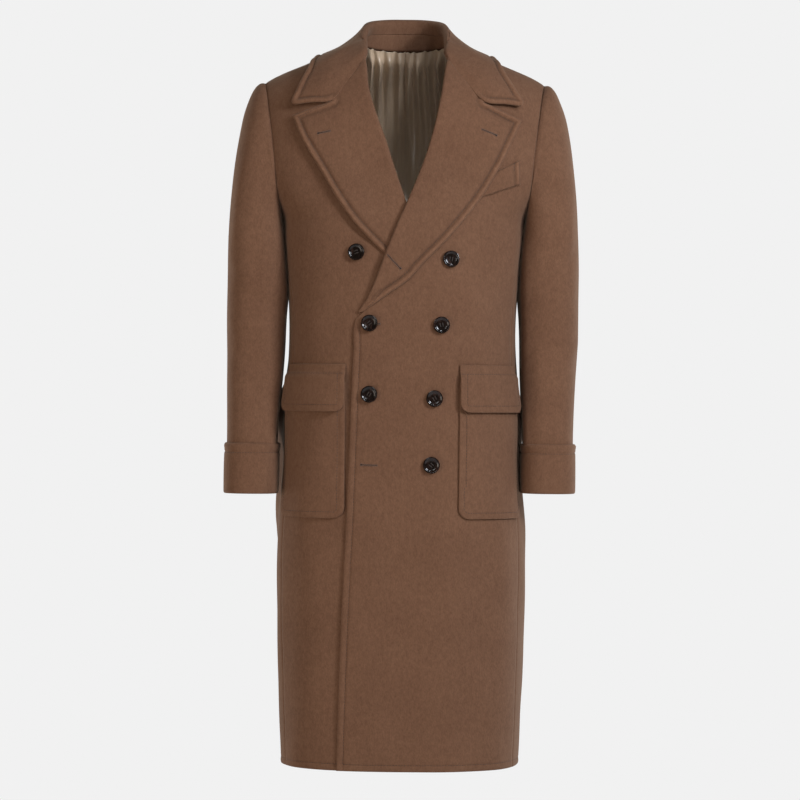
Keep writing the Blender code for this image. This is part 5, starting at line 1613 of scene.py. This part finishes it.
def make_buttons(carriers):
    """Turned horn buttons with a raised rim and four holes, sewn on a wound shank."""
    points, faces = turned_disc(BUTTON_PROFILE, BUTTON_SIDES)
    mesh = bpy.data.meshes.new("button")
    mesh.from_pydata(points.tolist(), [], faces)
    blank = bpy.data.objects.new("blank", mesh)
    bpy.context.scene.collection.objects.link(blank)
    holes = [(HOLE_AWAY * math.cos(angle), HOLE_AWAY * math.sin(angle))
             for angle in (math.tau * (quarter + 0.5) / 4 for quarter in range(4))]
    master = drilled(blank, holes)
    bpy.data.objects.remove(blank)
    master.shade_smooth()
    master.set_sharp_from_angle(angle=math.radians(38))
    master.materials.clear()
    master.materials.append(HORN)
    for number, (across, level, side) in enumerate(BUTTONS, start=1):
        tree = tree_of(carriers[side])
        aim = flipped(on_front(side, side * across * MM, level * MM, CLEAR), side)
        surface, out = settled(tree, [aim])
        foot, up = Vector(surface[0]), Vector(out[0])
        turn = up.to_track_quat("Z", "Y") @ Matrix.Rotation(BUTTON_TURN * number, 3, "Z").to_quaternion()
        place = Matrix.Translation(foot + up * BUTTON_AIR) @ turn.to_matrix().to_4x4()
        shaped = master.copy()
        shaped.transform(place)
        button = bpy.data.objects.new(f"horn_button_{number}", shaped)
        bpy.context.scene.collection.objects.link(button)
        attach(button, "root")
        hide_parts(f"button_{number}")
        corners = [place @ Vector((x, y, (BUTTON_PROFILE[-1][1] + STRAND_UP) * MM)) for x, y in holes]
        runs = [(corners[0], corners[1]), (corners[3], corners[2])]
        places, along = [], []
        for first, last in runs:
            beside = (corners[3] - corners[0]).normalized() * STRAND_APART
            for offset in STRANDS:
                places.append((first + last) / 2 + beside * offset)
                along.append(last - first)
        across_face = len(places)
        for step in range(SHANK_STRANDS):
            angle = math.tau * step / SHANK_STRANDS
            ring = turn @ Vector((math.cos(angle), math.sin(angle), 0)) * SHANK_RADIUS
            places.append(foot + ring + up * SHANK_UP)
            along.append(up)
        lengths = [STRAND_LONG] * across_face + [SHANK_LONG] * SHANK_STRANDS
        tops = [tuple(up)] * across_face + [tuple(turn @ Vector((1, 0, 0)))] * SHANK_STRANDS
        add_stitches(f"button_{number}_thread", np.array(places), np.array(along), np.array(tops),
                     np.array(lengths)[:, None, None], STRAND_THICK, SHANK_THREAD)


def make_buttonhole(number, piece, side, eye, far):
    """A hand-worked buttonhole: a dark slit with an eye, and close stitches all round it."""
    tree = tree_of(piece)
    line = np.linspace(0, 1, SLIT_POINTS)
    aims = flipped(on_front(side, mix(eye[0], far[0], line), mix(eye[1], far[1], line),
                            np.full(SLIT_POINTS, SLIT_AIM)), side)
    surface, out = settled(tree, aims)
    along = unit(np.gradient(surface, axis=0))
    beside = unit(np.cross(out, along))
    from_eye = np.linalg.norm(surface - surface[0], axis=1)
    half = SLIT_HALF + EYE_HALF * np.exp(-((from_eye - EYE_AT) / EYE_WIDE) ** 2)
    rim = np.concatenate((surface + beside * half[:, None], (surface - beside * half[:, None])[::-1]))
    lift_out = np.concatenate((out, out[::-1]))
    points = np.concatenate((rim + lift_out * SLIT_UP, rim - lift_out * SLIT_DEEP))
    count = len(rim)
    faces = [tuple(range(count)), tuple(range(count, 2 * count))[::-1]]
    faces += [(at, at + count, (at + 1) % count + count, (at + 1) % count) for at in range(count)]
    slit = add_mesh(f"buttonhole_{number}_slit", points, faces, SLIT)
    away = beside * (half + PURL_OUT)[:, None]
    loop = np.concatenate((surface + away, (surface - away)[::-1], (surface + away)[:1]))
    spots, normal = settled(tree, walked(loop, PURL_PITCH))
    middle = surface[np.argmin(np.linalg.norm(spots[:, None] - surface[None], axis=2), axis=1)]
    edge = add_stitches(f"buttonhole_{number}_stitches", spots + normal * PURL_UP, spots - middle, normal,
                        PURL_LONG, PURL_THICK, SILK)
    return [slit, edge]


# ---------------------------------------------------------------- the coat

pieces, sewing = {}, {}
for hand in (LEFT, RIGHT):
    label = NAMES[hand]
    pieces[f"{label}_front"], sewing[f"{label}_front"] = make_front(hand)
    pieces[f"back_{label}"], sewing[f"back_{label}"] = make_back(hand)
    pieces[f"{label}_sleeve"] = make_sleeve(hand)
    pieces[f"{label}_cuff"], sewing[f"{label}_cuff"] = make_cuff(hand)
    pieces[f"{label}_lapel"], sewing[f"{label}_lapel"] = make_lapel(hand)
    pieces[f"{label}_pocket"], sewing[f"{label}_pocket"] = make_pocket(hand)
    pieces[f"{label}_flap"], sewing[f"{label}_flap"] = make_flap(hand)
    pieces[f"lining_{label}"] = make_lining(hand)
pieces["chest_welt"], sewing["chest_welt"] = make_welt()
pieces["collar"], pieces["collar_stand"], sewing["collar"] = make_collar()
make_buttons({LEFT: pieces["left_front"], RIGHT: pieces["right_front"]})
for count, (carrier, eye_x, eye_z, far_x, far_z) in enumerate(BUTTONHOLES, start=1):
    hand = LEFT if carrier.startswith("left") else RIGHT
    sewing.setdefault(carrier, []).extend(
        make_buttonhole(count, pieces[carrier], hand, (eye_x * MM, eye_z * MM), (far_x * MM, far_z * MM)))


# ---------------------------------------------------------------- stage, light and camera

def make_sweep(material):
    """A pale paper sweep: a level floor that curves up into a wall far behind the coat."""
    bend = [(SWEEP_BEND * math.sin(turn), SWEEP_BEND * (1 - math.cos(turn)))
            for turn in np.linspace(0, math.pi / 2, SWEEP_STEPS)]
    line = [(-SWEEP_FRONT, 0)]
    line += [(SWEEP_BACK - SWEEP_BEND + along, up) for along, up in bend]
    line.append((SWEEP_BACK, SWEEP_TALL))
    points = [(side * SWEEP_WIDE / 2, along, FLOOR + up) for along, up in line for side in (-1, 1)]
    faces = [(2 * step, 2 * step + 1, 2 * step + 3, 2 * step + 2) for step in range(len(line) - 1)]
    mesh = bpy.data.meshes.new("paper sweep")
    mesh.from_pydata(points, [], faces)
    mesh.shade_smooth()
    mesh.materials.append(material)
    sweep = bpy.data.objects.new("paper sweep", mesh)
    bpy.context.scene.collection.objects.link(sweep)


FLOOR = -1.32
SWEEP_FRONT, SWEEP_BACK, SWEEP_WIDE, SWEEP_TALL = 9.0, 8.5, 18.0, 5.0
SWEEP_BEND, SWEEP_STEPS = 1.6, 16
make_sweep(backdrop_paper())


def add_light(name, place, aim, size, watts, colour="#FFFFFF"):
    """A soft studio light that faces the coat."""
    data = bpy.data.lights.new(name, "AREA")
    data.shape, data.size, data.size_y = "RECTANGLE", size[0], size[1]
    data.energy, data.color = watts, linear(colour)[:3]
    lamp = bpy.data.objects.new(name, data)
    lamp.visible_camera = False
    lamp.location = place
    lamp.rotation_euler = (Vector(aim) - Vector(place)).to_track_quat("-Z", "Y").to_euler()
    bpy.context.scene.collection.objects.link(lamp)


LIGHTS = (
    # name, place, aim, size, watts, colour
    ("key light", (2.1, -2.0, 0.7), (0.1, 0, -0.4), (0.6, 0.6), 66, "#EEF4FF"),
    ("upper light", (1.0, -1.7, 1.3), (0.15, -0.1, -0.2), (0.35, 0.35), 17, "#EEF4FF"),
    ("front light", (0.1, -4.2, 0.7), (0, 0, -0.3), (0.7, 0.7), 17),
    ("left fill", (-2.4, -2.2, -0.4), (0, 0, -0.4), (1.0, 1.0), 16, "#FFF2E4"),
    ("low fill", (-1.6, -1.8, -1.25), (0, 0, -0.9), (1.0, 1.0), 14, "#FFF2E4"),
    ("left rim light", (2.2, 1.5, -0.3), (0.2, 0, -0.6), (0.7, 2.2), 26),
    ("right rim light", (-2.2, 1.5, -0.3), (-0.2, 0, -0.6), (0.7, 2.2), 28),
)
for row in LIGHTS:
    add_light(*row)

world = bpy.data.worlds.new("studio")
bpy.context.scene.world = world
world.use_nodes = True
world.node_tree.nodes["Background"].inputs["Color"].default_value = linear("#F1F1F1")
world.node_tree.nodes["Background"].inputs["Strength"].default_value = 0.05
bpy.context.scene.view_settings.view_transform = "Standard"

# The camera looks straight at the front from five metres, tipped by half a degree.
CAMERA_PLACE = Vector((-0.0033, -5.0, -0.5738))
CAMERA_TIP = math.radians(-0.53)
lens = bpy.data.cameras.new("camera")
lens.sensor_width = 36
lens.lens = 3050 / 800 * lens.sensor_width    # a metre at the coat covers 610 of the picture's 800 pixels
camera = bpy.data.objects.new("camera", lens)
facing = (Vector((CAMERA_PLACE.x, 0, CAMERA_PLACE.z)) - CAMERA_PLACE).to_track_quat("-Z", "Y").to_matrix()
tipped = Matrix.Rotation(CAMERA_TIP, 3, "Y") @ facing
camera.matrix_world = Matrix.Translation(CAMERA_PLACE) @ tipped.to_4x4()
bpy.context.scene.collection.objects.link(camera)
bpy.context.scene.camera = camera
